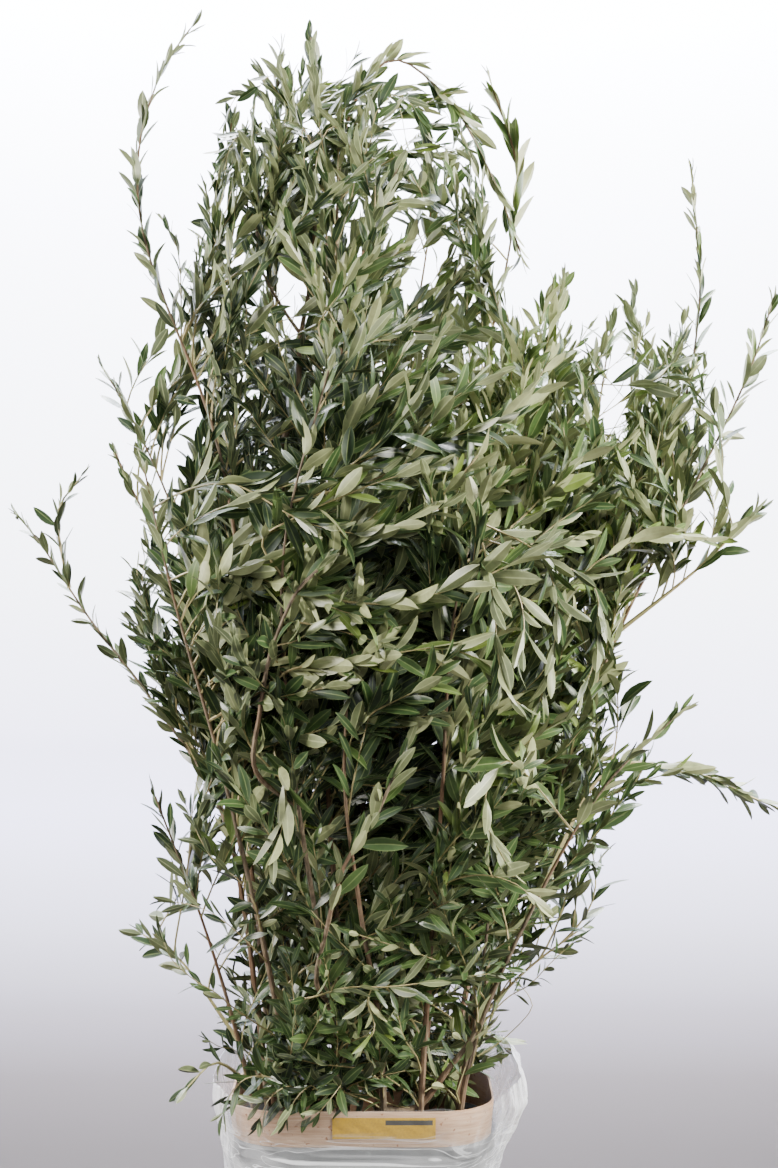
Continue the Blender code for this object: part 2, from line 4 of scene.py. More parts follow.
import bmesh
import bpy
import numpy as np
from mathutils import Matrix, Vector


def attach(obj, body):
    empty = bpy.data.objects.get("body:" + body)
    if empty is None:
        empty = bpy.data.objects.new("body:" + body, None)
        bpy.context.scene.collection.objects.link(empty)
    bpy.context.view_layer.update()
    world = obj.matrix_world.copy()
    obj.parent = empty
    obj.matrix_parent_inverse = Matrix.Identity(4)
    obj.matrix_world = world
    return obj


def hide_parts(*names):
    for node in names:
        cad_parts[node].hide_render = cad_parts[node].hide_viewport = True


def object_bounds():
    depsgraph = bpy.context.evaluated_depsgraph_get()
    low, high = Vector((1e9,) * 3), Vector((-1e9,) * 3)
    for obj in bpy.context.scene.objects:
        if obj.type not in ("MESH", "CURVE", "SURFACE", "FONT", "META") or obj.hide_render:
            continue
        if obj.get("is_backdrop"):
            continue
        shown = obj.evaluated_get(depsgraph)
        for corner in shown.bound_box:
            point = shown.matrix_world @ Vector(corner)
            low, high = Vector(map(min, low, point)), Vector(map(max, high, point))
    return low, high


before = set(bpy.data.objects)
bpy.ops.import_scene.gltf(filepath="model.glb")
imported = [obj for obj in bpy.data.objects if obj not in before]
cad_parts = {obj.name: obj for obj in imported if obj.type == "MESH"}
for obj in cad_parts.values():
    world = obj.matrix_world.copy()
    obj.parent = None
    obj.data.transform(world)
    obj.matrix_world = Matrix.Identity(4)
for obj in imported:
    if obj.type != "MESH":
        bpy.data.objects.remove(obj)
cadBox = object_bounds()


def linear(hexColour):
    # an sRGB hex colour as linear red, green, blue and alpha
    parts = [int(hexColour[i:i + 2], 16) / 255 for i in (1, 3, 5)]
    return (*[c / 12.92 if c <= 0.04045 else ((c + 0.055) / 1.055) ** 2.4 for c in parts], 1)


def addNode(material, kind, settings=None, links=None, stops=(), **options):
    # adds a node with its options, sockets and ramp stops, and links sockets to other nodes' outputs
    tree = material.node_tree
    node = tree.nodes.new("ShaderNode" + kind)
    for name, value in options.items():
        setattr(node, name, value)
    for socket, value in (settings or {}).items():
        node.inputs[socket].default_value = linear(value) if isinstance(value, str) else value
    for i, (place, colour) in enumerate(stops):
        points = node.color_ramp.elements
        point = points[i] if i < len(points) else points.new(place)
        point.position = place
        point.color = linear(colour)
    for socket, (source, output) in (links or {}).items():
        tree.links.new(source.outputs[output], node.inputs[socket])
    return node


def newMaterial(name):
    material = bpy.data.materials.new(name)
    material.use_nodes = True
    return material


def finishOf(material, **sockets):
    # sets plain values on the surface shader, or links a node's output to one of its sockets
    shader = material.node_tree.nodes["Principled BSDF"]
    for name, value in sockets.items():
        socket = shader.inputs[name.replace("_", " ")]
        if isinstance(value, tuple):
            material.node_tree.links.new(value[0].outputs[value[1]], socket)
        else:
            socket.default_value = linear(value) if isinstance(value, str) else value


def startFresh():
    if bpy.context.mode != "OBJECT":
        bpy.ops.object.mode_set(mode="OBJECT")
    bpy.ops.object.select_all(action="DESELECT")


def pull(*way):
    # extrudes what is selected
    bpy.ops.mesh.extrude_region_move(TRANSFORM_OT_translate={"value": way})


def endModelling():
    # turns every face outwards and leaves edit mode
    bpy.ops.mesh.select_all(action="SELECT")
    bpy.ops.mesh.normals_make_consistent(inside=False)
    bpy.ops.object.mode_set(mode="OBJECT")


def applyAll(piece):
    # applies the modifiers and puts the object's place into its mesh
    startFresh()
    piece.select_set(True)
    bpy.context.view_layer.objects.active = piece
    for modifier in list(piece.modifiers):
        bpy.ops.object.modifier_apply(modifier=modifier.name)
    bpy.ops.object.transform_apply(location=True, rotation=True, scale=True)


def settle(piece, slot, *nodes):
    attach(piece, "root")
    if nodes:
        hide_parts(*nodes)


# camera, floor and light
view = {"place": (0.039, -3.0, 1.04), "lens": 63.34, "sensor": 36}

bpy.ops.object.camera_add(location=view["place"], rotation=(math.radians(90), 0, 0))
camera = bpy.context.object
camera.data.lens = view["lens"]
camera.data.sensor_width = view["sensor"]
bpy.context.scene.camera = camera

studio = {
    # the backdrop's painted shade, from dark at the floor to white higher up, at shares of this height above
    # the floor
    "whiteAt": 2.0,
    "paper": ((0.0, "#272323"), (0.05, "#403c3f"), (0.10, "#5d5a62"), (0.155, "#7f7e8a"), (0.22, "#a2a2b6"),
        (0.29, "#c6c7e6"), (0.37, "#e1e2ff"), (0.52, "#eef2ff")),
    "floorFront": -5.0, "wallY": 1.25, "wallTop": 5.0, "halfWidth": 5.0, "sweep": 0.7, "steps": 14,
    "air": "#eef0f7", "airStrength": 0.14,
    # each light: its place, what it aims at, its size, its power in watts and its colour
    "lights": {
        "leftSoftbox": ((-2.4, -1.0, 1.8), (0.0, 0.0, 0.95), (0.9, 1.1), 215, "#fffaf2"),
        "rightSoftbox": ((2.5, -1.1, 1.65), (0.20, 0.0, 0.9), (0.9, 1.1), 325, "#fffcf2"),
        "frontSoftbox": ((0.25, -3.4, 2.1), (0.1, 0.0, 0.75), (1.2, 0.8), 43, "#ffffff"),
        "topSoftbox": ((0.1, -0.3, 4.2), (0.0, 0.0, 1.2), (1.6, 1.0), 60, "#ffffff"),
        "wallSoftbox": ((0.0, 0.75, 3.4), (0.0, 1.5, 2.1), (3.4, 0.5), 1300, "#f7f8ff"),
    },
}


def makeStage():
    # one pale sheet: floor, a wide curve and the wall
    startFresh()
    bpy.ops.mesh.primitive_plane_add(size=1, location=(0, 0, 0))
    sheet = bpy.context.object
    sheet.name = "paleStage"
    wallFoot = studio["wallY"] - studio["sweep"]
    bpy.ops.object.mode_set(mode="EDIT")
    bm = bmesh.from_edit_mesh(sheet.data)
    for vert in bm.verts:
        vert.co.x *= 2 * studio["halfWidth"]
        vert.co.y = studio["floorFront"] if vert.co.y < 0 else wallFoot
    bmesh.update_edit_mesh(sheet.data)
    bpy.ops.mesh.select_all(action="DESELECT")
    bm = bmesh.from_edit_mesh(sheet.data)
    for edge in bm.edges:
        edge.select = all(v.co.y > 0 for v in edge.verts)
    bm.select_flush_mode()
    bmesh.update_edit_mesh(sheet.data)
    quarter = math.radians(90)
    run = quarter / studio["steps"] * studio["sweep"]
    for i in range(studio["steps"]):
        turn = quarter * (i + 0.5) / studio["steps"]
        pull(0, run * math.cos(turn), run * math.sin(turn))
    pull(0, 0, studio["wallTop"])
    bpy.ops.object.mode_set(mode="OBJECT")
    bpy.ops.object.shade_smooth()
    # graduated backdrop paper: matt, with painted shade, darker towards the floor and white at the top, with
    # a cool cast, and clear from its back, so that the bunch is seen from behind too
    paper = newMaterial("graduated backdrop paper")
    place = addNode(paper, "TexCoord")
    split = addNode(paper, "SeparateXYZ", links={"Vector": (place, "Object")})
    level = addNode(paper, "MapRange", {"From Min": 0.0, "From Max": studio["whiteAt"]},
        {"Value": (split, "Z")})
    paintedFalloff = addNode(paper, "ValToRGB", links={"Fac": (level, 0)}, stops=studio["paper"])
    behind = addNode(paper, "NewGeometry")
    front = addNode(paper, "Math", {0: 1.0}, {1: (behind, "Backfacing")}, operation="SUBTRACT")
    finishOf(paper, Base_Color=(paintedFalloff, "Color"), Roughness=0.9, Alpha=(front, 0))
    sheet.data.materials.append(paper)
    sheet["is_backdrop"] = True


def makeLights():
    for name, (place, aim, size, power, colour) in studio["lights"].items():
        startFresh()
        bpy.ops.object.light_add(type="AREA", location=place)
        light = bpy.context.object
        light.name = name
        light.data.shape = "RECTANGLE"
        light.data.size, light.data.size_y = size
        light.data.energy = power
        light.data.color = linear(colour)[:3]
        light.rotation_euler = (Vector(aim) - Vector(place)).to_track_quat("-Z", "Y").to_euler()
    air = bpy.data.worlds.new("studio air")
    air.use_nodes = True
    air.node_tree.nodes["Background"].inputs["Color"].default_value = linear(studio["air"])
    air.node_tree.nodes["Background"].inputs["Strength"].default_value = studio["airStrength"]
    bpy.context.scene.world = air


makeStage()
makeLights()
print("camera, stage and light are up")


# where the branches run: each one's foot, the line of its stem above the bucket, the length of its bare end,
# and its side limbs, with the share of the stem where they leave it, their line and their bare end
branches = {
    "branch_01": ((-0.125, -0.072), ((-0.165, -0.10, 0.36), (-0.215, -0.13, 0.55),
        (-0.285, -0.15, 0.745)), 0.16,
        ((0.52, ((-0.255, -0.07, 0.50), (-0.315, -0.04, 0.535)), 0.09),
         (0.44, ((-0.20, -0.165, 0.38), (-0.235, -0.20, 0.355)), 0.07))),
    "branch_02": ((-0.075, -0.072), ((-0.11, -0.11, 0.40), (-0.18, -0.19, 0.75), (-0.25, -0.24, 1.02),
        (-0.29, -0.25, 1.20)), 0.14, ()),
    "branch_03": ((-0.025, -0.072), ((-0.04, -0.13, 0.42), (-0.09, -0.24, 0.80), (-0.10, -0.29, 1.08),
        (-0.04, -0.31, 1.32)), 0.14, ()),
    "branch_04": ((0.025, -0.072), ((0.03, -0.13, 0.38), (0.0, -0.22, 0.60), (-0.02, -0.29, 0.80),
        (0.0, -0.30, 1.045)), 0.14, ()),
    "branch_05": ((0.075, -0.072), ((0.09, -0.13, 0.42), (0.11, -0.23, 0.75), (0.125, -0.29, 1.0),
        (0.18, -0.30, 1.22)), 0.14, ()),
    "branch_06": ((0.125, -0.072), ((0.155, -0.11, 0.38), (0.24, -0.17, 0.60), (0.33, -0.20, 0.76),
        (0.435, -0.20, 0.865)), 0.21,
        ((0.66, ((0.34, -0.10, 0.77), (0.45, -0.06, 0.775), (0.605, -0.03, 0.715)), 0.26),)),
    "branch_07": ((-0.125, -0.024), ((-0.15, -0.03, 0.42), (-0.20, -0.02, 0.70), (-0.30, 0.0, 0.86),
        (-0.40, 0.01, 0.99), (-0.465, 0.01, 1.09), (-0.50, 0.01, 1.135)), 0.42,
        ((0.90, ((-0.445, 0.0, 1.14), (-0.41, -0.01, 1.195)), 0.20),)),
    "branch_08": ((-0.075, -0.024), ((-0.10, -0.04, 0.45), (-0.15, -0.07, 0.85), (-0.20, -0.08, 1.22),
        (-0.30, -0.08, 1.50), (-0.318, -0.08, 1.64), (-0.288, -0.07, 1.765),
        (-0.245, -0.06, 1.835)), 0.46, ()),
    "branch_09": ((-0.025, -0.024), ((-0.03, -0.05, 0.45), (-0.05, -0.12, 0.85), (-0.04, -0.17, 1.2),
        (-0.01, -0.17, 1.45), (0.06, -0.15, 1.64)), 0.16, ()),
    "branch_10": ((0.025, -0.024), ((0.02, -0.03, 0.45), (-0.01, -0.04, 0.9), (-0.03, -0.05, 1.35),
        (-0.03, -0.05, 1.66), (0.035, -0.05, 1.79), (0.12, -0.07, 1.735), (0.185, -0.08, 1.62),
        (0.225, -0.09, 1.51)), 0.42, ()),
    "branch_11": ((0.075, -0.024), ((0.10, -0.04, 0.45), (0.17, -0.08, 0.85), (0.23, -0.10, 1.2),
        (0.285, -0.09, 1.46)), 0.14, ()),
    "branch_12": ((0.125, -0.024), ((0.165, -0.03, 0.42), (0.27, -0.06, 0.72), (0.37, -0.07, 0.98),
        (0.47, -0.06, 1.17), (0.55, -0.05, 1.33), (0.59, -0.04, 1.44)), 0.30,
        ((0.66, ((0.47, -0.12, 1.06), (0.55, -0.13, 1.14)), 0.12),)),
    "branch_13": ((-0.125, 0.024), ((-0.145, 0.03, 0.45), (-0.20, 0.05, 0.85), (-0.27, 0.03, 1.12),
        (-0.335, 0.0, 1.28), (-0.375, -0.01, 1.35)), 0.16, ()),
    "branch_14": ((-0.075, 0.024), ((-0.085, 0.03, 0.45), (-0.11, 0.03, 0.9), (-0.12, 0.02, 1.3),
        (-0.14, 0.02, 1.6), (-0.12, 0.03, 1.82)), 0.18, ()),
    "branch_15": ((-0.025, 0.024), ((-0.03, 0.05, 0.5), (-0.04, 0.10, 0.95), (-0.05, 0.13, 1.35),
        (-0.06, 0.13, 1.65), (-0.08, 0.12, 1.87)), 0.18, ()),
    "branch_16": ((0.025, 0.024), ((0.03, 0.04, 0.5), (0.04, 0.06, 0.95), (0.06, 0.07, 1.3),
        (0.10, 0.08, 1.58), (0.09, 0.08, 1.69)), 0.14, ()),
    "branch_17": ((0.075, 0.024), ((0.085, 0.03, 0.5), (0.13, 0.03, 0.95), (0.17, 0.02, 1.3),
        (0.215, 0.0, 1.53), (0.225, 0.0, 1.65), (0.19, 0.0, 1.765)), 0.24, ()),
    "branch_18": ((0.125, 0.024), ((0.16, 0.03, 0.42), (0.27, 0.05, 0.75), (0.37, 0.06, 1.02),
        (0.46, 0.04, 1.25), (0.495, 0.02, 1.45), (0.483, 0.01, 1.64)), 0.36,
        ((0.22, ((0.235, 0.01, 0.47), (0.32, -0.01, 0.54)), 0.08),)),
    "branch_19": ((-0.125, 0.072), ((-0.15, 0.10, 0.42), (-0.22, 0.17, 0.78), (-0.30, 0.19, 1.05),
        (-0.38, 0.15, 1.24)), 0.16, ()),
    "branch_20": ((-0.075, 0.072), ((-0.09, 0.10, 0.45), (-0.15, 0.17, 0.9), (-0.20, 0.19, 1.3),
        (-0.225, 0.15, 1.58), (-0.20, 0.12, 1.74)), 0.18, ()),
    "branch_21": ((-0.025, 0.072), ((-0.03, 0.13, 0.45), (-0.07, 0.25, 0.85), (-0.09, 0.30, 1.15),
        (-0.12, 0.31, 1.42)), 0.14, ()),
    "branch_22": ((0.025, 0.072), ((0.03, 0.11, 0.5), (0.04, 0.20, 0.95), (0.03, 0.25, 1.35),
        (0.02, 0.24, 1.66)), 0.16,
        ((0.30, ((0.01, 0.24, 0.66), (-0.01, 0.30, 0.82)), 0.09),)),
    "branch_23": ((0.075, 0.072), ((0.09, 0.12, 0.45), (0.14, 0.24, 0.85), (0.17, 0.29, 1.15),
        (0.20, 0.28, 1.42)), 0.14, ()),
    "branch_24": ((0.125, 0.072), ((0.155, 0.11, 0.42), (0.25, 0.18, 0.78), (0.33, 0.20, 1.1),
        (0.38, 0.14, 1.44)), 0.14,
        ((0.42, ((0.30, 0.26, 0.82), (0.36, 0.28, 0.97)), 0.09),)),
}


stemShape = {
    # the height of the cut foot, how far up it stands straight, and the radii
    "low": 0.0038, "straight": 0.13, "radius": 0.0064, "limbRadius": 0.0036, "tipRadius": 0.0013,
    # how fast it thins, and the swollen leaf joints, one at every few points
    "taper": 1.4, "nodeEvery": 3, "nodeSwell": 1.10,
    # points of the curve between two given ones, and then their even distance
    "curveSteps": 12, "step": 0.02,
    # what the side of a line is first squared to, and how round bark and twigs are
    "firstSide": (0.13, -0.92, 0.37), "barkSides": 2, "twigSides": 0,
}


def evenly(line, step):
    # the same line with evenly spaced points
    run = np.concatenate([[0], np.cumsum(np.linalg.norm(np.diff(line, axis=0), axis=1))])
    count = max(3, int(round(run[-1] / step)) + 1)
    at = np.linspace(0, run[-1], count)
    return np.stack([np.interp(at, run, line[:, i]) for i in range(3)], axis=1)


def smoothLine(points, step):
    # a smooth line through the given points
    points = [Vector(p) for p in points]
    ends = [2 * points[0] - points[1], *points, 2 * points[-1] - points[-2]]
    line = [points[0]]
    steps = stemShape["curveSteps"]
    for before, start, end, after in zip(ends, ends[1:], ends[2:], ends[3:]):
        for i in range(1, steps + 1):
            t = i / steps
            square = (2 * before - 5 * start + 4 * end - after) * t ** 2
            cube = (3 * start - before - 3 * end + after) * t ** 3
            line.append((2 * start + (end - before) * t + square + cube) / 2)
    return evenly(np.array(line), step)


def unit(v):
    return v / np.maximum(np.linalg.norm(v, axis=-1, keepdims=True), 1e-9)


class Wood:
    # a woody line with its radius at both ends, its ways and a side that follows it without twist
    def __init__(self, line, thick, thin, kind):
        self.line = line
        self.ways = unit(np.gradient(line, axis=0))
        self.radii = thin + (thick - thin) * np.linspace(1, 0, len(line)) ** stemShape["taper"]
        if kind == "bark":
            self.radii[::stemShape["nodeEvery"]] *= stemShape["nodeSwell"]
        self.kind = kind
        self.length = float(np.linalg.norm(np.diff(line, axis=0), axis=1).sum())
        side = np.cross(self.ways[0], stemShape["firstSide"])
        sides = []
        for way in self.ways:
            side = unit(side - way * side.dot(way))
            sides.append(side)
        self.sides = np.array(sides)

    def at(self, share):
        # point, way and side at a share of the length
        place = share * (len(self.line) - 1)
        i = min(int(place), len(self.line) - 2)
        return self.line[i] + (self.line[i + 1] - self.line[i]) * (place - i), self.ways[i], self.sides[i]


stems = {}
for name, (foot, line, whip, limbs) in branches.items():
    route = [(*foot, stemShape["low"]), (*foot, stemShape["straight"]), *line]
    stem = Wood(smoothLine(route, stemShape["step"]), stemShape["radius"], stemShape["tipRadius"], "bark")
    stems[name] = [(stem, whip)]
    for share, limbLine, limbWhip in limbs:
        route = smoothLine([stem.at(share)[0], *limbLine], stemShape["step"])
        limb = Wood(route, stemShape["limbRadius"], stemShape["tipRadius"], "twig")
        stems[name].append((limb, limbWhip))
print("stems", len(stems))


# the leafy shoots, in metres and degrees
foliage = {
    "seed": 7,
    # how many shoots, how many more low down and up to where, and how many places are tried for each tip
    "shoots": 590, "lowShoots": 60, "lowTop": 0.62, "tries": 4,
    # how far in tips may lie, how evenly they fill the outline, and how long a bare end without shoots is
    "inner": 0.22, "evenness": 0.8, "longWhip": 0.20,
    # the length of a shoot, and the least and greatest distance from its root to its tip
    "length": (0.20, 0.38), "lowLength": (0.10, 0.20), "longest": 0.48, "shortest": 0.07,
    # how far it strays from the flow, and how much shoots spread to the front and back
    "turnSpread": 24, "lowTurnSpread": 42, "outward": 0.55, "outwardNoise": 0.12,
    # its thickness, and the share that is bare at its root, with what is added low down
    "radius": 0.0014, "twigTip": 0.0006, "bare": 0.14, "lowBare": 0.28,
    # shoots given one by one: how far back they root, their leaves' size, their step and how thin bark ends
    "leadRoot": 0.05, "leadLeaf": 0.80, "leadStep": 0.012, "barkLeadTip": 0.55,
    # how far the shoots of a clump scatter, and how many points of a shoot may lie in a gap
    "clumpSpread": 0.6, "clumpLimit": 1.5, "gapTouch": 2,
    # the share of shoots that a hollow loses, in front of this y
    "hollow": 0.88, "hollowFrom": 0.0,
    # leaf length at the edge and in the middle, where the middle is and how far it reaches, across and up
    "leafLength": (0.047, 0.058), "largeAt": (0.06, 1.08), "largeReach": (0.30, 0.33),
    # what the front adds, the length at the top, and how it varies from shoot to shoot and leaf to leaf
    "frontBonus": 0.010, "highLeaf": 0.049, "sizeNoise": 0.004, "spread": 0.25,
    # larger leaves stand further apart; how far a pair strays along the twig and round it, in radians
    "gapBase": 0.7, "gapLeaf": 0.2, "stray": 0.15, "turnNoise": 0.25,
    # leaves get shorter past this share of the shoot; the last one's length and width in whole leaves
    "youngFrom": 0.62, "youngLoss": 0.42, "endLeaf": (0.62, 0.13), "endStray": 0.2,
    # what is added to the angle to the twig, and how much leaves hang
    "lowLean": 12, "highLean": -13, "leanNoise": 13, "droop": 0.25, "leastDroop": 0.15,
    # where upper sides look: outwards, less so across, and a little up, more of it at the top
    "lookAcross": 0.8, "lookUp": 0.06, "topFacing": 0.14, "lookNoise": 0.3, "roll": 0.42,
    # more upper sides show round this height, and in hollows
    "upperAt": (1.30, 0.17), "upperBonus": 0.38, "hiddenTurn": 2,
    # leaves left out, slimmer ones low down, the foot's distance from the twig's middle line,
    # and the share of a leaf's length where it is tested against the gaps
    "missing": 0.05, "lowSlim": 0.3, "offTwig": 0.0008, "gapTest": 0.6,
    # the blade's bend, as middle and spread, its fold from least to most, its twist and its sickle
    "bend": (0.07, 0.13), "fold": (0.04, 0.56), "twist": 0.38, "sickle": 0.09,
    # the share of the shade that a shoot's leaves have in common, and the painted light and painted shade
    # that make it lighter or darker: lighter on the right and higher up, darker on the left and in hollows
    "sharedShade": 0.5, "paintedLight": 0.15, "leftPaintedShade": 0.20, "hollowPaintedShade": 0.45,
}

# where something starts and how far on it is there in full: down, left or forward with a minus
zones = {
    "lowTips": (0.75, -0.35), "lowPairs": (0.8, -0.3), "highPairs": (1.35, 0.15), "highLeaves": (1.4, 0.2),
    "droop": (1.45, 0.2), "front": (0, -0.3), "paintedLightRight": (0.08, 0.15), "paintedLightUp": (0.65, 0.2),
    "paintedShadeLeft": (-0.05, -0.12),
}

# leaf length on the bare ends of the stems
whipLeaf = 0.050
whipLeaves = {"branch_02": 0.040, "branch_07": 0.040, "branch_08": 0.048, "branch_12": 0.052,
    "branch_13": 0.040, "branch_17": 0.062, "branch_18": 0.042, "branch_19": 0.032}

# leaves on the bare ends, on the shoots that the eye meets first, and on all the others:
# the gap between pairs, length over width, how far they turn outwards, how readily they show the upper side,
# the angle to the twig at its foot and tip, and what is added to their shade
habits = {
    "whip": {"gap": 0.0185, "slimness": (2.6, 3.7), "facing": 0.66, "underOut": 0.1, "lean": (27, 17),
        "shade": -0.12},
    "lead": {"gap": 0.021, "slimness": (3.4, 4.4), "facing": 0.46, "underOut": 0.0, "lean": (32, 17),
        "shade": 0},
    "shoot": {"gap": 0.0180, "slimness": (3.1, 4.3), "facing": 0.48, "underOut": -0.28, "lean": (31, 16),
        "shade": 0},
}

# gaps that show the wall: their middle and half their width and height in the front view
windows = (
    (-0.099, 1.448, 0.024, 0.052), (-0.118, 1.402, 0.013, 0.022), (-0.083, 1.432, 0.011, 0.030),
    (0.095, 1.510, 0.026, 0.044), (0.062, 1.695, 0.018, 0.034), (-0.076, 1.706, 0.020, 0.022),
    (-0.165, 1.44, 0.010, 0.030), (-0.20, 1.60, 0.010, 0.025), (0.368, 1.315, 0.024, 0.070),
    (0.228, 1.450, 0.027, 0.028), (-0.185, 1.52, 0.009, 0.030), (-0.145, 1.50, 0.008, 0.026),
    (0.01, 1.60, 0.010, 0.020),
)
# places beside the bunch that only the bare ends cross
clearings = (
    (0.440, 0.965, 0.065, 0.085), (-0.368, 1.105, 0.045, 0.085), (-0.235, 1.710, 0.035, 0.085),
    (-0.300, 0.740, 0.055, 0.110), (-0.385, 1.195, 0.050, 0.055), (0.570, 1.235, 0.045, 0.055),
)
# hollows in the front of the bunch, where shade shows: they lose shoots, and the leaves seen in them get
# painted shade
hollows = (
    (0.02, 0.76, 0.11, 0.13), (-0.055, 1.28, 0.095, 0.085), (-0.150, 1.21, 0.040, 0.060),
    (0.10, 0.98, 0.07, 0.035), (0.11, 1.06, 0.06, 0.03), (0.23, 0.88, 0.05, 0.035),
)

# height, left, right and depth of the leafy mass
outline = (
    (0.30, -0.150, 0.145, 0.150), (0.36, -0.165, 0.160, 0.195), (0.43, -0.200, 0.190, 0.22),
    (0.51, -0.200, 0.21, 0.25), (0.62, -0.165, 0.235, 0.29), (0.69, -0.140, 0.265, 0.305),
    (0.76, -0.130, 0.335, 0.325), (0.82, -0.155, 0.345, 0.335), (0.95, -0.240, 0.360, 0.36),
    (1.05, -0.260, 0.365, 0.37), (1.12, -0.260, 0.385, 0.37), (1.22, -0.230, 0.415, 0.37),
    (1.30, -0.220, 0.41, 0.35), (1.38, -0.200, 0.34, 0.32), (1.43, -0.195, 0.24, 0.30),
    (1.48, -0.230, 0.165, 0.28), (1.60, -0.225, 0.175, 0.25), (1.70, -0.175, 0.170, 0.20),
    (1.75, -0.155, 0.145, 0.14), (1.785, -0.120, 0.10, 0.10),
)

# places that are fuller than the rest: their middle, half their size and how many shoots are added
clumps = (
    ((0.40, -0.03, 1.22), (0.05, 0.12, 0.10), 28),
    ((0.30, -0.04, 1.38), (0.08, 0.12, 0.06), 16),
    ((0.25, -0.06, 0.88), (0.09, 0.18, 0.15), 46),
    ((0.26, -0.08, 1.30), (0.05, 0.12, 0.10), 16),
    ((-0.22, -0.05, 1.12), (0.03, 0.15, 0.18), 8),
    ((-0.245, -0.04, 1.03), (0.025, 0.12, 0.11), 18),
    ((-0.300, 0.0, 1.05), (0.025, 0.12, 0.10), 18),
    ((-0.125, -0.13, 0.37), (0.05, 0.06, 0.04), 13),
    ((0.02, -0.28, 1.00), (0.20, 0.06, 0.20), 36),
    ((0.19, -0.06, 0.60), (0.07, 0.12, 0.14), 22),
    ((0.23, -0.08, 0.68), (0.04, 0.10, 0.10), 16),
    ((0.03, 0.03, 0.345), (0.13, 0.06, 0.025), 24),
    ((0.10, 0.05, 0.335), (0.06, 0.05, 0.02), 16),
    ((0.09, 0.03, 0.36), (0.07, 0.07, 0.04), 18),
    ((-0.17, -0.02, 1.60), (0.05, 0.08, 0.12), 10),
    ((-0.21, -0.04, 1.42), (0.03, 0.08, 0.12), 6),
    ((-0.02, -0.04, 1.74), (0.12, 0.07, 0.03), 14),
    ((0.165, -0.04, 1.62), (0.02, 0.06, 0.09), 14),
    ((0.47, -0.03, 1.33), (0.06, 0.10, 0.05), 18),
    ((0.33, -0.10, 1.17), (0.08, 0.12, 0.09), 18),
    ((0.32, -0.08, 0.79), (0.05, 0.10, 0.06), 16),
    ((0.42, -0.02, 1.39), (0.07, 0.08, 0.05), 14),
    ((0.06, 0.14, 0.80), (0.12, 0.05, 0.09), 18),
)

# the way shoots point at a height, in degrees from +X in the front view, at a few places across
flow = (
    (0.35, ((-0.22, 165), (-0.08, 105), (0.05, 80), (0.18, 45))),
    (0.60, ((-0.24, 135), (-0.10, 100), (0.02, 65), (0.15, 55), (0.32, 38))),
    (0.90, ((-0.28, 118), (-0.14, 75), (0.00, 26), (0.15, 44), (0.38, 50))),
    (1.20, ((-0.32, 112), (-0.17, 72), (0.00, 34), (0.15, 58), (0.35, 68), (0.50, 72))),
    (1.45, ((-0.28, 104), (-0.12, 88), (0.00, 64), (0.15, 64), (0.32, 78))),
    (1.60, ((-0.26, 98), (-0.12, 88), (0.00, 80), (0.12, 66), (0.24, 84))),
    (1.75, ((-0.22, 98), (-0.13, 93), (-0.03, 74), (0.06, 35), (0.18, -40))),
)

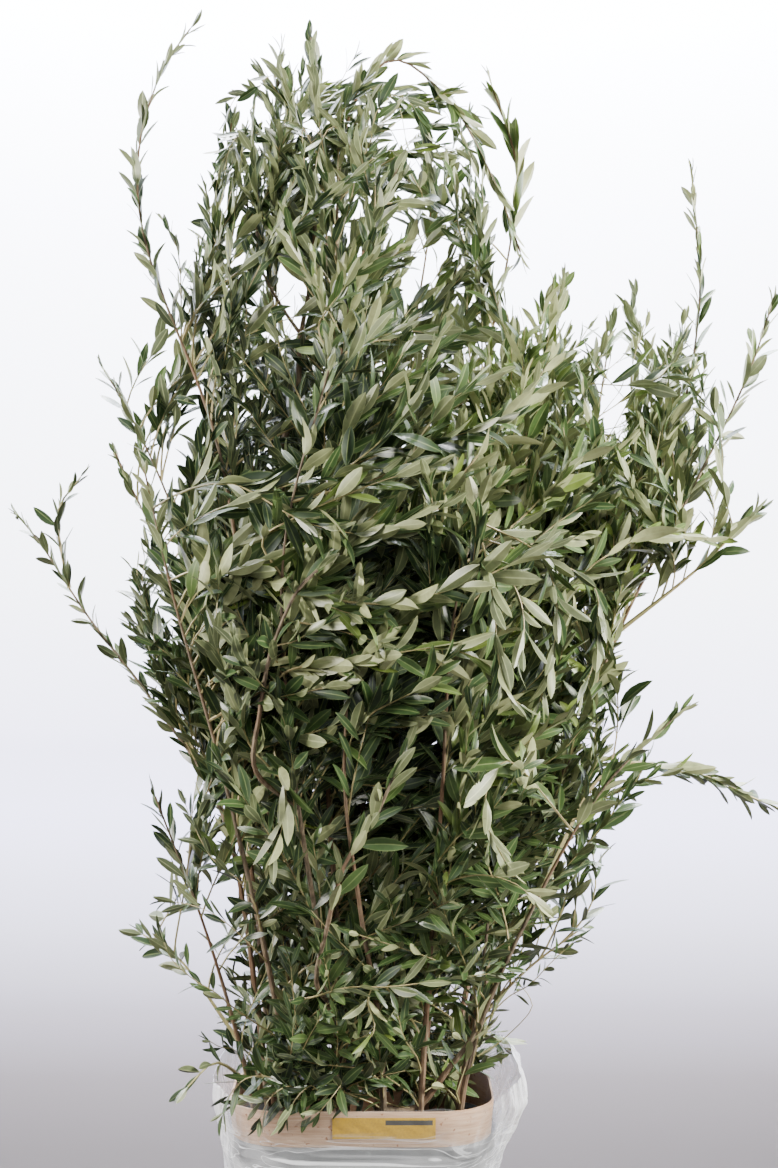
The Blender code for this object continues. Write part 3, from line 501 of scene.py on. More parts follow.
# shoots that the eye meets first: where their leaves start, leaf length, thickness, kind and line
leadShoots = (
    (0.22, 0.084, 0.0022, "twig", ((-0.075, -0.27, 1.028), (-0.012, -0.31, 1.016), (0.044, -0.335, 1.015),
        (0.096, -0.34, 1.026), (0.161, -0.34, 1.049), (0.226, -0.33, 1.08), (0.283, -0.30, 1.10))),
    (0.20, 0.082, 0.0020, "twig", ((-0.05, -0.28, 1.052), (-0.019, -0.30, 1.082), (0.004, -0.315, 1.097),
        (0.053, -0.33, 1.119), (0.105, -0.33, 1.138))),
    (0.20, 0.080, 0.0018, "twig", ((-0.129, -0.28, 1.098), (-0.078, -0.305, 1.13), (-0.025, -0.32, 1.153),
        (0.027, -0.33, 1.173), (0.090, -0.33, 1.192))),
    (0.38, 0.086, 0.0022, "twig", ((-0.122, -0.27, 0.903), (-0.091, -0.30, 0.927), (-0.034, -0.32, 0.938),
        (0.018, -0.335, 0.945), (0.096, -0.34, 0.957), (0.144, -0.34, 0.948), (0.170, -0.33, 0.933))),
    (0.88, 0.060, 0.0038, "bark", ((-0.139, -0.26, 0.791), (-0.132, -0.28, 0.87), (-0.119, -0.305, 0.939),
        (-0.108, -0.31, 0.973), (-0.082, -0.32, 1.029), (-0.054, -0.325, 1.058))),
    (0.30, 0.060, 0.0018, "twig", ((-0.126, -0.30, 0.905), (-0.150, -0.315, 0.935), (-0.164, -0.31, 0.968))),
    (0.30, 0.066, 0.0018, "twig", ((-0.112, -0.31, 0.955), (-0.085, -0.33, 0.965), (-0.052, -0.34, 0.985))),
    (0.15, 0.066, 0.0020, "twig", ((-0.148, -0.24, 0.824), (-0.162, -0.26, 0.885), (-0.184, -0.275, 0.935),
        (-0.19, -0.28, 0.979), (-0.187, -0.28, 1.032), (-0.184, -0.275, 1.077))),
    (0.10, 0.064, 0.0016, "twig", ((0.161, -0.33, 1.091), (0.173, -0.35, 1.019), (0.179, -0.355, 0.955),
        (0.187, -0.355, 0.905), (0.209, -0.345, 0.884))),
    (0.10, 0.062, 0.0016, "twig", ((0.150, -0.32, 1.060), (0.196, -0.335, 1.045), (0.214, -0.34, 0.990),
        (0.202, -0.345, 0.935), (0.186, -0.34, 0.905))),
    (0.12, 0.062, 0.0016, "twig", ((0.236, -0.29, 1.080), (0.258, -0.31, 1.015), (0.252, -0.315, 0.945),
        (0.236, -0.31, 0.885))),
    (0.12, 0.060, 0.0016, "twig", ((0.300, -0.25, 1.050), (0.318, -0.26, 0.985), (0.308, -0.265, 0.925),
        (0.288, -0.26, 0.880))),
    (0.25, 0.074, 0.0016, "twig", ((-0.094, -0.29, 0.99), (-0.038, -0.31, 0.982), (0.017, -0.33, 0.967))),
    (0.15, 0.070, 0.0020, "twig", ((-0.059, -0.15, 1.392), (-0.035, -0.19, 1.428), (0.002, -0.21, 1.469),
        (0.047, -0.22, 1.492))),
    (0.15, 0.078, 0.0020, "twig", ((-0.039, -0.27, 1.191), (-0.01, -0.29, 1.25), (0.034, -0.30, 1.292),
        (0.086, -0.30, 1.321))),
    (0.15, 0.078, 0.0020, "twig", ((0.047, -0.29, 1.19), (0.086, -0.31, 1.242), (0.121, -0.31, 1.281),
        (0.172, -0.30, 1.313))),
    (0.12, 0.074, 0.0020, "twig", ((0.106, -0.30, 1.144), (0.145, -0.32, 1.195), (0.184, -0.31, 1.242),
        (0.222, -0.29, 1.285), (0.25, -0.27, 1.335))),
    (0.12, 0.070, 0.0018, "twig", ((0.214, -0.25, 1.126), (0.257, -0.25, 1.171), (0.296, -0.24, 1.207),
        (0.341, -0.22, 1.238))),
    (0.20, 0.066, 0.0018, "twig", ((0.269, -0.24, 1.032), (0.322, -0.24, 1.072), (0.395, -0.20, 1.107),
        (0.48, -0.16, 1.101), (0.505, -0.14, 1.112))),
    (0.15, 0.076, 0.0018, "twig", ((-0.081, -0.24, 0.804), (-0.026, -0.27, 0.835), (0.034, -0.29, 0.858),
        (0.093, -0.30, 0.867))),
    (0.42, 0.070, 0.0036, "bark", ((-0.060, -0.20, 0.50), (-0.045, -0.24, 0.575), (-0.021, -0.27, 0.664),
        (0.02, -0.29, 0.731), (0.047, -0.30, 0.791), (0.069, -0.30, 0.841))),
    (0.20, 0.068, 0.0018, "twig", ((0.095, -0.20, 0.637), (0.127, -0.25, 0.697), (0.173, -0.27, 0.737),
        (0.213, -0.27, 0.793))),
    (0.15, 0.052, 0.0016, "twig", ((-0.144, -0.20, 0.603), (-0.165, -0.22, 0.64), (-0.196, -0.22, 0.664),
        (-0.218, -0.21, 0.695), (-0.239, -0.19, 0.738))),
    (0.25, 0.050, 0.0016, "twig", ((-0.164, -0.20, 0.562), (-0.198, -0.20, 0.589), (-0.234, -0.18, 0.60),
        (-0.270, -0.16, 0.601))),
    (0.30, 0.062, 0.0015, "twig", ((-0.106, -0.13, 0.335), (-0.130, -0.17, 0.362), (-0.160, -0.19, 0.362),
        (-0.180, -0.20, 0.340), (-0.187, -0.20, 0.318))),
    (0.30, 0.060, 0.0015, "twig", ((-0.085, -0.14, 0.330), (-0.100, -0.175, 0.350), (-0.124, -0.195, 0.338),
        (-0.137, -0.20, 0.312))),
    (0.30, 0.060, 0.0015, "twig", ((-0.060, -0.14, 0.335), (-0.070, -0.175, 0.350), (-0.088, -0.195, 0.338),
        (-0.100, -0.20, 0.315))),
    (0.30, 0.062, 0.0015, "twig", ((-0.030, -0.14, 0.335), (-0.028, -0.175, 0.350), (-0.038, -0.192, 0.340),
        (-0.056, -0.20, 0.320))),
    (0.25, 0.056, 0.0017, "twig", ((-0.070, -0.20, 0.476), (-0.018, -0.21, 0.492), (0.038, -0.22, 0.495),
        (0.095, -0.21, 0.500), (0.174, -0.19, 0.507))),
    (0.15, 0.084, 0.0017, "twig", ((0.208, -0.27, 0.800), (0.178, -0.285, 0.790), (0.165, -0.29, 0.751),
        (0.170, -0.29, 0.718), (0.193, -0.28, 0.673))),
    (0.15, 0.080, 0.0017, "twig", ((-0.115, -0.25, 0.821), (-0.099, -0.265, 0.770), (-0.102, -0.27, 0.720),
        (-0.115, -0.265, 0.684))),
    (0.30, 0.074, 0.0016, "twig", ((0.120, -0.24, 0.640), (0.165, -0.26, 0.652), (0.208, -0.26, 0.640),
        (0.235, -0.25, 0.615))),
    (0.25, 0.060, 0.0015, "twig", ((0.010, -0.20, 0.470), (0.020, -0.22, 0.440), (0.005, -0.22, 0.415))),
    (0.30, 0.042, 0.0013, "twig", ((-0.175, -0.14, 0.391), (-0.192, -0.16, 0.399), (-0.208, -0.165, 0.409))),
    (0.98, 0.030, 0.0052, "bark", ((0.079, -0.10, 0.302), (0.121, -0.11, 0.356), (0.162, -0.12, 0.415),
        (0.173, -0.12, 0.467), (0.180, -0.12, 0.530))),
    (0.98, 0.030, 0.0036, "bark", ((0.138, -0.10, 0.330), (0.155, -0.115, 0.397), (0.167, -0.13, 0.481),
        (0.177, -0.13, 0.566))),
    (0.94, 0.022, 0.0014, "twig", ((0.158, 0.03, 0.335), (0.203, 0.03, 0.365), (0.246, 0.02, 0.411),
        (0.246, 0.02, 0.432), (0.23, 0.0, 0.455))),
    (0.96, 0.046, 0.0052, "bark", ((-0.094, -0.03, 1.316), (-0.089, -0.03, 1.396), (-0.078, -0.03, 1.455),
        (-0.070, -0.03, 1.519), (-0.067, -0.03, 1.58))),
    (0.96, 0.046, 0.0034, "bark", ((-0.087, -0.03, 1.399), (-0.120, -0.03, 1.447), (-0.146, -0.03, 1.498),
        (-0.152, -0.03, 1.549), (-0.156, -0.03, 1.60))),
    (0.10, 0.056, 0.0015, "twig", ((-0.032, -0.06, 1.682), (-0.023, -0.07, 1.721), (0.004, -0.08, 1.743),
        (0.034, -0.08, 1.74), (0.054, -0.08, 1.716), (0.062, -0.08, 1.677))),
    (0.10, 0.058, 0.0015, "twig", ((0.01, -0.10, 1.657), (0.021, -0.11, 1.703), (0.048, -0.11, 1.728),
        (0.075, -0.11, 1.709), (0.091, -0.11, 1.66), (0.097, -0.10, 1.619))),
    (0.10, 0.056, 0.0015, "twig", ((0.086, -0.10, 1.581), (0.07, -0.12, 1.615), (0.053, -0.12, 1.653))),
    (0.10, 0.052, 0.0015, "twig", ((-0.10, -0.02, 1.66), (-0.125, -0.03, 1.718), (-0.153, -0.03, 1.748),
        (-0.182, -0.03, 1.744), (-0.197, -0.03, 1.71))),
    (0.10, 0.056, 0.0015, "twig", ((-0.101, -0.05, 1.64), (-0.127, -0.07, 1.669), (-0.16, -0.07, 1.685),
        (-0.185, -0.07, 1.669), (-0.196, -0.07, 1.63))),
    (0.10, 0.052, 0.0014, "twig", ((-0.128, -0.05, 1.60), (-0.152, -0.06, 1.655), (-0.178, -0.06, 1.668),
        (-0.201, -0.06, 1.64), (-0.211, -0.06, 1.59))),
    (0.10, 0.050, 0.0014, "twig", ((-0.085, -0.09, 1.69), (-0.108, -0.10, 1.745), (-0.131, -0.10, 1.757),
        (-0.148, -0.10, 1.73), (-0.153, -0.10, 1.685))),
    (0.10, 0.056, 0.0014, "twig", ((-0.010, -0.12, 1.60), (-0.018, -0.14, 1.655), (-0.040, -0.15, 1.675),
        (-0.058, -0.15, 1.645), (-0.064, -0.15, 1.60))),
    (0.10, 0.058, 0.0015, "twig", ((0.141, -0.08, 1.535), (0.135, -0.10, 1.592), (0.118, -0.11, 1.628),
        (0.102, -0.11, 1.655))),
    (0.10, 0.058, 0.0016, "twig", ((0.162, -0.09, 1.49), (0.173, -0.10, 1.554), (0.167, -0.10, 1.608),
        (0.151, -0.10, 1.651))),
    (0.10, 0.052, 0.0015, "twig", ((-0.205, -0.06, 1.495), (-0.213, -0.06, 1.539), (-0.219, -0.06, 1.577),
        (-0.224, -0.06, 1.605))),
    (0.10, 0.050, 0.0015, "twig", ((-0.259, -0.07, 1.493), (-0.271, -0.06, 1.539), (-0.283, -0.05, 1.557))),
    (0.25, 0.044, 0.0015, "twig", ((-0.168, -0.15, 0.446), (-0.201, -0.17, 0.478), (-0.232, -0.17, 0.497),
        (-0.26, -0.165, 0.521), (-0.272, -0.16, 0.545))),
    (0.45, 0.034, 0.0014, "twig", ((0.207, -0.02, 0.437), (0.243, -0.02, 0.459), (0.275, -0.02, 0.492),
        (0.305, -0.02, 0.52))),
    (0.30, 0.046, 0.0015, "twig", ((0.153, -0.10, 0.552), (0.203, -0.10, 0.587), (0.254, -0.08, 0.605),
        (0.29, -0.06, 0.628))),
    (0.20, 0.054, 0.0016, "twig", ((0.342, -0.05, 0.73), (0.396, -0.08, 0.759), (0.467, -0.08, 0.773),
        (0.535, -0.06, 0.747))),
)


def grown(value, zone):
    # 0 up to where the zone starts, then evenly up to 1
    start, run = zone
    return float(np.clip((value - start) / run, 0, 1))


def outlineAt(z):
    # left, right and depth of the leafy mass at a height
    rows = np.array(outline)
    return [np.interp(z, rows[:, 0], rows[:, i]) for i in (1, 2, 3)]


def flowAt(point, spread, rng):
    # the way that a shoot points at a place
    x, y, z = point
    angles = [np.interp(x, *zip(*row)) for _, row in flow]
    angle = math.radians(np.interp(z, [height for height, _ in flow], angles) + rng.gauss(0, spread))
    outward = foliage["outward"] * y / outlineAt(z)[2] + rng.gauss(0, foliage["outwardNoise"])
    return unit(np.array([math.cos(angle), outward, math.sin(angle)]))


def chooseTargets(count, low, high, rng):
    # shoot tips spread evenly through the outline, a little denser towards the outside
    sizes = [(row[2] - row[1]) * row[3] for row in outline]
    heights = [row[0] for row in outline]
    targets = np.empty((0, 3))
    while len(targets) < count:
        best, bestGap = None, -1
        for _ in range(foliage["tries"]):
            z = rng.uniform(low, high)
            if rng.random() > (np.interp(z, heights, sizes) / max(sizes)) ** foliage["evenness"]:
                continue
            left, right, depth = outlineAt(z)
            turn = rng.uniform(0, 2 * math.pi)
            far = foliage["inner"] + (1 - foliage["inner"]) * rng.random() ** 0.5
            point = np.array([(left + right) / 2 + (right - left) / 2 * far * math.cos(turn),
                depth * far * math.sin(turn), z])
            gap = np.linalg.norm(targets - point, axis=1).min() if len(targets) else 1
            if gap > bestGap:
                best, bestGap = point, gap
        if best is not None:
            targets = np.vstack([targets, best])
    return targets


# how a shoot leaves its stem
rooting = {
    # the lowest height and the last share of a stem where one may start
    "lowest": 0.285, "last": 0.97,
    # what a place costs that the shoot would leave backwards, or that lies too near or too far
    "backwards": 0.10, "leastAlong": 0.35, "misfit": 0.5,
    # what a shoot adds to the cost of the places round its own, and how far that reaches
    "crowding": 0.02, "crowdReach": 0.03,
    # how much it first follows the stem and the way to its tip, and how strongly it turns into its heading
    "alongStem": 0.55, "toTip": 0.75, "pull": 1.1,
    # the distance of its points, its bow's half waves at most and size, and its thickness by length
    "step": 0.022, "halfWaves": 2.2, "bow": 0.045, "slim": 0.7, "thicken": 1.6,
}


class Nursery:
    # the places on the stems where shoots may start
    def __init__(self):
        places = []
        for name, found in stems.items():
            for wood, whip in found:
                shares = np.linspace(0, 1, len(wood.line))
                last = rooting["last"]
                if whip >= foliage["longWhip"]:
                    last = min(last, 1 - whip / wood.length)
                places += [(name, *row) for row in zip(wood.line, wood.ways, shares)
                    if row[0][2] > rooting["lowest"] and row[2] < last]
        self.names = [place[0] for place in places]
        self.spots = np.array([place[1] for place in places])
        self.ways = np.array([place[2] for place in places])
        self.load = np.zeros(len(places))

    def rootOf(self, points):
        # the stem place that lies best behind a line's first point, seen along the line
        start, following = np.array(points[0]), np.array(points[1])
        back = foliage["leadRoot"]
        behind = start - unit(following - start) * back - np.array([0, 0, back / 2])
        best = int(np.argmin(np.linalg.norm(self.spots - behind, axis=1)))
        return self.names[best], self.spots[best]

    def shootTo(self, tip, rng):
        # a smooth shoot from the stem place that lies best upstream of its tip
        lowness = grown(tip[2], zones["lowTips"])
        spread = foliage["turnSpread"] + (foliage["lowTurnSpread"] - foliage["turnSpread"]) * lowness
        heading = flowAt(tip, spread, rng)
        lengths = [a + (b - a) * lowness for a, b in zip(foliage["length"], foliage["lowLength"])]
        length = rng.uniform(*lengths)
        reach = tip - self.spots
        distance = np.linalg.norm(reach, axis=1)
        along = (unit(reach) * self.ways).sum(axis=1)
        cost = np.linalg.norm(self.spots - (tip - heading * length), axis=1) + self.load
        backwards = rooting["backwards"] * np.clip(rooting["leastAlong"] - along, 0, None)
        cost += backwards + rooting["misfit"] * (distance > foliage["longest"])
        cost += rooting["misfit"] * (distance < foliage["shortest"])
        best = int(np.argmin(cost))
        near = np.linalg.norm(self.spots - self.spots[best], axis=1) / rooting["crowdReach"]
        self.load += rooting["crowding"] * np.exp(-near ** 2)
        span = distance[best]
        leave = unit(self.ways[best] * rooting["alongStem"] + unit(reach[best]) * rooting["toTip"])
        t = np.linspace(0, 1, max(5, int(span / rooting["step"])))[:, None]
        line = (2 * t ** 3 - 3 * t ** 2 + 1) * self.spots[best] + (t ** 3 - 2 * t ** 2 + t) * leave * span
        line = line + (3 * t ** 2 - 2 * t ** 3) * tip + (t ** 3 - t ** 2) * heading * span * rooting["pull"]
        bow = unit(np.cross(heading, [rng.gauss(0, 1), rng.gauss(0, 1), rng.gauss(0, 1)]))
        wave = np.sin(t * math.pi * rng.uniform(1, rooting["halfWaves"]))
        line = line + wave * bow * span * rng.gauss(0, rooting["bow"])
        thick = foliage["radius"] * (rooting["slim"] + rooting["thicken"] * span)
        return self.names[best], Wood(line, thick, foliage["twigTip"], "twig")


def turned(v, axis, angle):
    # a vector turned about an axis
    along = axis * axis.dot(v)
    return v * math.cos(angle) + np.cross(axis, v) * math.sin(angle) + along * (1 - math.cos(angle))


def leafRow(foot, way, up, length, width, shade, rng):
    # what one leaf needs: foot, way, upper side, length, width, bend, fold, twist, sickle and shade
    return (*foot, *way, *up, length, width, rng.gauss(*foliage["bend"]), rng.uniform(*foliage["fold"]),
        rng.gauss(0, foliage["twist"]), rng.gauss(0, foliage["sickle"]),
        shade + (1 - foliage["sharedShade"]) * rng.random())


def seenIn(gaps, point):
    # whether a point lies in one of the gaps, as the camera sees it
    nearer = -view["place"][1] / (point[1] - view["place"][1])
    x = view["place"][0] + (point[0] - view["place"][0]) * nearer
    z = view["place"][2] + (point[2] - view["place"][2]) * nearer
    return any(((x - middleX) / wide) ** 2 + ((z - middleZ) / high) ** 2 < 1
        for middleX, middleZ, wide, high in gaps)


def dress(rows, wood, start, leafSize, habit, rng):
    # opposite pairs, each a quarter turn on from the last, smaller towards the tip
    room = foliage["gapBase"] + leafSize / foliage["gapLeaf"]
    count = max(2, int(wood.length * (1 - start) / habit["gap"] / room))
    quarter = rng.uniform(0, math.pi)
    tip = wood.at(1)[0]
    ordinary = habit is habits["shoot"]
    gaps = windows + clearings if ordinary else windows
    # painted light: the leaves of shoots on the right and higher up are lighter; painted shade: those on the
    # left are darker
    paintedLight = foliage["paintedLight"] * (grown(tip[0], zones["paintedLightRight"]) * grown(tip[2], zones["paintedLightUp"]))
    leftPaintedShade = foliage["leftPaintedShade"] * grown(tip[0], zones["paintedShadeLeft"])
    shade = foliage["sharedShade"] * rng.random() - paintedLight + leftPaintedShade + habit["shade"]
    for i in range(count + 1):
        youth = i / count
        place = i + rng.uniform(-foliage["stray"], foliage["stray"])
        share = min(max(start + (1 - start) * place / count, 0), 1)
        point, way, side = wood.at(share)
        young = foliage["youngLoss"] * max(0, youth - foliage["youngFrom"]) / (1 - foliage["youngFrom"])
        size = leafSize * (1 - young)
        turn = quarter + i * math.pi / 2 + rng.gauss(0, foliage["turnNoise"])
        lowness = grown(point[2], zones["lowPairs"])
        highness = grown(point[2], zones["highPairs"])
        sag = foliage["droop"] * max(foliage["leastDroop"], grown(point[2], zones["droop"]))
        outward = np.array([point[0] * foliage["lookAcross"], point[1], foliage["lookUp"]])
        middle, reach = foliage["upperAt"]
        underOut = habit["underOut"] - foliage["upperBonus"] * math.exp(-((point[2] - middle) / reach) ** 2)
        # painted shade: leaves seen in a hollow are darker, and turn their dark upper side out more
        hollowPaintedShade = foliage["hollowPaintedShade"] if ordinary and seenIn(hollows, point) else 0
        for half in (0, math.pi):
            if rng.random() < foliage["missing"]:
                continue
            out = turned(side, way, turn + half)
            lean = habit["lean"][0] + (habit["lean"][1] - habit["lean"][0]) * youth
            lean += foliage["lowLean"] * lowness + foliage["highLean"] * highness
            lean = math.radians(lean + rng.gauss(0, foliage["leanNoise"]))
            leafWay = unit(way * math.cos(lean) + out * math.sin(lean) - np.array([0, 0, sag * rng.random()]))
            up = unit(way - leafWay * way.dot(leafWay))
            look = unit(outward - leafWay * outward.dot(leafWay))
            underLimit = underOut - foliage["hiddenTurn"] * hollowPaintedShade
            if up.dot(look) + rng.gauss(0, foliage["lookNoise"]) < underLimit:
                look = -look
            facing = habit["facing"] + foliage["topFacing"] * highness
            up = unit(up * (1 - facing) + look * facing)
            up = turned(up, leafWay, rng.gauss(0, foliage["roll"]))
            length = size * rng.uniform(1 - foliage["spread"], 1 + foliage["spread"])
            width = length / (rng.uniform(*habit["slimness"]) + foliage["lowSlim"] * lowness)
            foot = point + out * foliage["offTwig"]
            row = leafRow(foot, leafWay, up, length, width, shade + hollowPaintedShade, rng)
            if not seenIn(gaps, point + leafWay * length * foliage["gapTest"]):
                rows.append(row)
    point, way, side = wood.at(1)
    leafWay = unit(way + side * rng.uniform(-foliage["endStray"], foliage["endStray"]))
    length, width = [leafSize * share for share in foliage["endLeaf"]]
    rows.append(leafRow(point, leafWay, side, length, width, shade, rng))


def leafSizeAt(point, rng):
    # largest at the middle of the front
    low, high = foliage["leafLength"]
    (x, z), (wide, tall) = foliage["largeAt"], foliage["largeReach"]
    middle = math.exp(-((point[2] - z) / tall) ** 2) * math.exp(-((point[0] - x) / wide) ** 2)
    front = middle * grown(point[1], zones["front"])
    end = grown(point[2], zones["highLeaves"])
    size = low + (high - low) * middle + foliage["frontBonus"] * front
    size += rng.uniform(-foliage["sizeNoise"], foliage["sizeNoise"])
    return size * (1 - end) + foliage["highLeaf"] * end


def drawsFor(*names):
    # random draws of its own for each shoot, so that a change to one leaves the others as they are
    return random.Random(" ".join(map(str, (foliage["seed"], *names))))


nursery = Nursery()
wood = {name: [piece for piece, _ in found] for name, found in stems.items()}
leaves = {name: [] for name in stems}
for name, found in stems.items():
    for piece, whip in found:
        dress(leaves[name], piece, 1 - whip / piece.length, whipLeaves.get(name, whipLeaf), habits["whip"],
            drawsFor(name, whip))
for start, size, thick, kind, points in leadShoots:
    name, root = nursery.rootOf(points)
    tipRadius = thick * foliage["barkLeadTip"] if kind == "bark" else foliage["twigTip"]
    shoot = Wood(smoothLine([root, *points], foliage["leadStep"]), thick, tipRadius, kind)
    wood[name].append(shoot)
    dress(leaves[name], shoot, start, size * foliage["leadLeaf"], habits["lead"], drawsFor("lead", points[0]))
rng = drawsFor("tips")
tips = [*chooseTargets(foliage["shoots"], outline[0][0], outline[-1][0], rng),
    *chooseTargets(foliage["lowShoots"], outline[0][0], foliage["lowTop"], rng)]
spread, limit = foliage["clumpSpread"], foliage["clumpLimit"]
for middle, reach, count in clumps:
    for _ in range(count):
        off = [max(-limit, min(limit, rng.gauss(0, spread))) for _ in middle]
        tips.append(np.array([m + r * o for m, r, o in zip(middle, reach, off)]))
for i, tip in enumerate(tips):
    rng = drawsFor("shoot", i)
    name, shoot = nursery.shootTo(tip, rng)
    cut = seenIn(hollows, tip) and tip[1] < foliage["hollowFrom"] and rng.random() < foliage["hollow"]
    if cut or sum(seenIn(windows + clearings, point) for point in shoot.line) > foliage["gapTouch"]:
        continue
    wood[name].append(shoot)
    bare = foliage["bare"] + foliage["lowBare"] * grown(tip[2], zones["lowTips"])
    dress(leaves[name], shoot, bare, leafSizeAt(tip, rng), habits["shoot"], rng)
print("leaves", sum(map(len, leaves.values())), "twigs", sum(map(len, wood.values())))
print("most leaves on one branch", max(map(len, leaves.values())))


# the olive leaf, modelled once: its half width at shares of its length, the stalk's, its thickness,
# how far leaves may stand out of the CAD box, and what counts as on the rib
leafBlade = {"rings": ((0.06, 0.15), (0.19, 0.56), (0.37, 0.92), (0.55, 1.0), (0.75, 0.82), (0.90, 0.46)),
    "stalk": 0.06, "thickness": 0.0007, "edgeRoom": 0.014, "onRib": 1e-6}


def makeBlade():
    # a slim four-sided rod drawn out ring by ring: two margins, and a rib above and below
    startFresh()
    bpy.ops.mesh.primitive_circle_add(vertices=4, radius=1, fill_type="NGON",
        rotation=(math.radians(90), 0, 0))
    blade = bpy.context.object
    bpy.ops.object.transform_apply(rotation=True)
    bpy.ops.object.mode_set(mode="EDIT")
    bpy.ops.mesh.select_all(action="SELECT")
    width, place = leafBlade["stalk"], 0
    bpy.ops.transform.resize(value=(width, 1, 1))
    for share, fullness in leafBlade["rings"]:
        pull(0, share - place, 0)
        bpy.ops.transform.resize(value=(fullness / width, 1, 1))
        width, place = fullness, share
    pull(0, 1 - place, 0)
    bpy.ops.mesh.merge(type="CENTER")
    endModelling()
    points = np.array([v.co for v in blade.data.vertices])
    faces, upper = [], []
    for face in blade.data.polygons:
        # a four-sided face is split from the margin's lower corner to the rib
        corners = list(face.vertices)
        for _ in range(3):
            first, across = points[corners[0]], points[corners[2]]
            if len(corners) == 4 and (abs(first[0]) < leafBlade["onRib"] or across[1] <= first[1]):
                corners.append(corners.pop(0))
        for i in range(1, len(corners) - 1):
            faces.append((corners[0], corners[i], corners[i + 1]))
            upper.append(face.normal.z > 0)
    bpy.data.objects.remove(blade)
    return points, faces, upper


bladePoints, bladeFaces, bladeUpper = makeBlade()
print("blade", len(bladePoints), "points", len(bladeFaces), "faces")


def bladesOf(rows):
    # every leaf's points, from the one blade
    foot, way, up = rows[:, 0:3], unit(rows[:, 3:6]), rows[:, 6:9]
    up = unit(up - way * (up * way).sum(axis=1, keepdims=True))
    side = np.cross(way, up)
    length, width, bend, fold, twist, sickle = (rows[:, i, None] for i in range(9, 15))
    across, along, height = bladePoints.T
    turn = twist * along
    offAcross = across * width / 2 + sickle * length * along ** 2
    offUp = height * leafBlade["thickness"] / 2 + np.abs(across) * fold * width / 2
    offUp = offUp - bend * length * along ** 2
    sideways = offAcross * np.cos(turn) - offUp * np.sin(turn)
    upward = offAcross * np.sin(turn) + offUp * np.cos(turn)
    points = foot[:, None] + way[:, None] * (length * along)[..., None]
    points = points + side[:, None] * sideways[..., None]
    return points + up[:, None] * upward[..., None]


def leafMesh(name, rows):
    # one mesh of all the leaves, with a chart of the blade and each leaf's shade
    rows = np.array(rows)
    points = bladesOf(rows)
    low, high = np.array(cadBox[0]) - leafBlade["edgeRoom"], np.array(cadBox[1]) + leafBlade["edgeRoom"]
    inside = ((points > low) & (points < high)).all(axis=(1, 2))
    rows, points = rows[inside], points[inside].reshape(-1, 3)
    count = len(bladePoints)
    faces = [[v + i * count for v in face] for i in range(len(rows)) for face in bladeFaces]
    mesh = bpy.data.meshes.new(name)
    mesh.from_pydata(points.tolist(), [], faces)
    mesh.polygons.foreach_set("material_index", np.tile([0 if up else 1 for up in bladeUpper], len(rows)))
    across, along, _ = bladePoints[[v for face in bladeFaces for v in face]].T
    across = np.where(np.abs(across) < leafBlade["onRib"], 0.5, 0.5 + 0.5 * np.sign(across))
    chart = np.stack([across, along], axis=1)
    mesh.uv_layers.new(name="blade").data.foreach_set("uv", np.tile(chart.ravel(), len(rows)))
    shade = mesh.attributes.new("leafShade", "FLOAT", "POINT")
    shade.data.foreach_set("value", np.repeat(rows[:, 15], count))
    mesh.update()
    return bpy.data.objects.new(name, mesh)


def woodCurve(name, woods, sides):
    # stems or twigs as one curve with a thickness
    curve = bpy.data.curves.new(name, "CURVE")
    curve.dimensions = "3D"
    curve.bevel_depth = 1
    curve.bevel_resolution = sides
    curve.use_fill_caps = True
    for piece in woods:
        spline = curve.splines.new("POLY")
        spline.points.add(len(piece.line) - 1)
        spline.points.foreach_set("co", np.hstack([piece.line, np.ones((len(piece.line), 1))]).ravel())
        spline.points.foreach_set("radius", piece.radii)
        spline.use_smooth = True
    return bpy.data.objects.new(name, curve)


def leafMaterial(name, colours, rib, rim, roughness, relief):
    # one side of the leaf: a shade of its own, with the painted light and shade set on each leaf, a pale
    # midrib, a thin pale rim and a faint mottle
    material = newMaterial(name)
    shade = addNode(material, "Attribute", attribute_name="leafShade")
    colour = addNode(material, "ValToRGB", links={"Fac": (shade, "Fac")}, stops=colours)
    chart = addNode(material, "UVMap", uv_map="blade")
    split = addNode(material, "SeparateXYZ", links={"Vector": (chart, "UV")})
    offMiddle = addNode(material, "Math", {1: 0.5}, {0: (split, "X")}, operation="SUBTRACT")
    offMiddle = addNode(material, "Math", links={0: (offMiddle, 0)}, operation="ABSOLUTE")
    ribLine = addNode(material, "MapRange",
        {"From Min": 0.02, "From Max": 0.07, "To Min": rib[1], "To Max": 0.0}, {"Value": (offMiddle, 0)})
    rimLine = addNode(material, "MapRange",
        {"From Min": 0.41, "From Max": 0.47, "To Min": 0.0, "To Max": rim}, {"Value": (offMiddle, 0)})
    drawn = addNode(material, "Math", links={0: (ribLine, 0), 1: (rimLine, 0)}, operation="MAXIMUM")
    place = addNode(material, "TexCoord")
    mottle = addNode(material, "TexNoise", {"Scale": 90.0, "Detail": 3.0}, {"Vector": (place, "Object")})
    tone = addNode(material, "MapRange",
        {"From Min": 0.3, "From Max": 0.7, "To Min": 0.82, "To Max": 1.16}, {"Value": (mottle, "Fac")})
    toned = addNode(material, "VectorMath", links={0: (colour, "Color"), 1: (tone, 0)},
        operation="MULTIPLY")
    mixed = addNode(material, "Mix", {7: rib[0]}, {0: (drawn, 0), 6: (toned, 0)}, data_type="RGBA")
    bump = addNode(material, "Bump", {"Strength": 0.35, "Distance": relief}, {"Height": (ribLine, 0)})
    finishOf(material, Base_Color=(mixed, 2), Roughness=roughness, Normal=(bump, 0))
    return material


# olive leaf, upper side: leathery and waxed, so dark green with a soft gloss
upperSide = leafMaterial("olive leaf upper side",
    ((0.03, "#647631"), (0.2, "#41562a"), (0.55, "#2b4120"), (0.85, "#1a2c16")),
    rib=("#84925c", 0.5), rim=0.3, roughness=0.36, relief=0.0003)
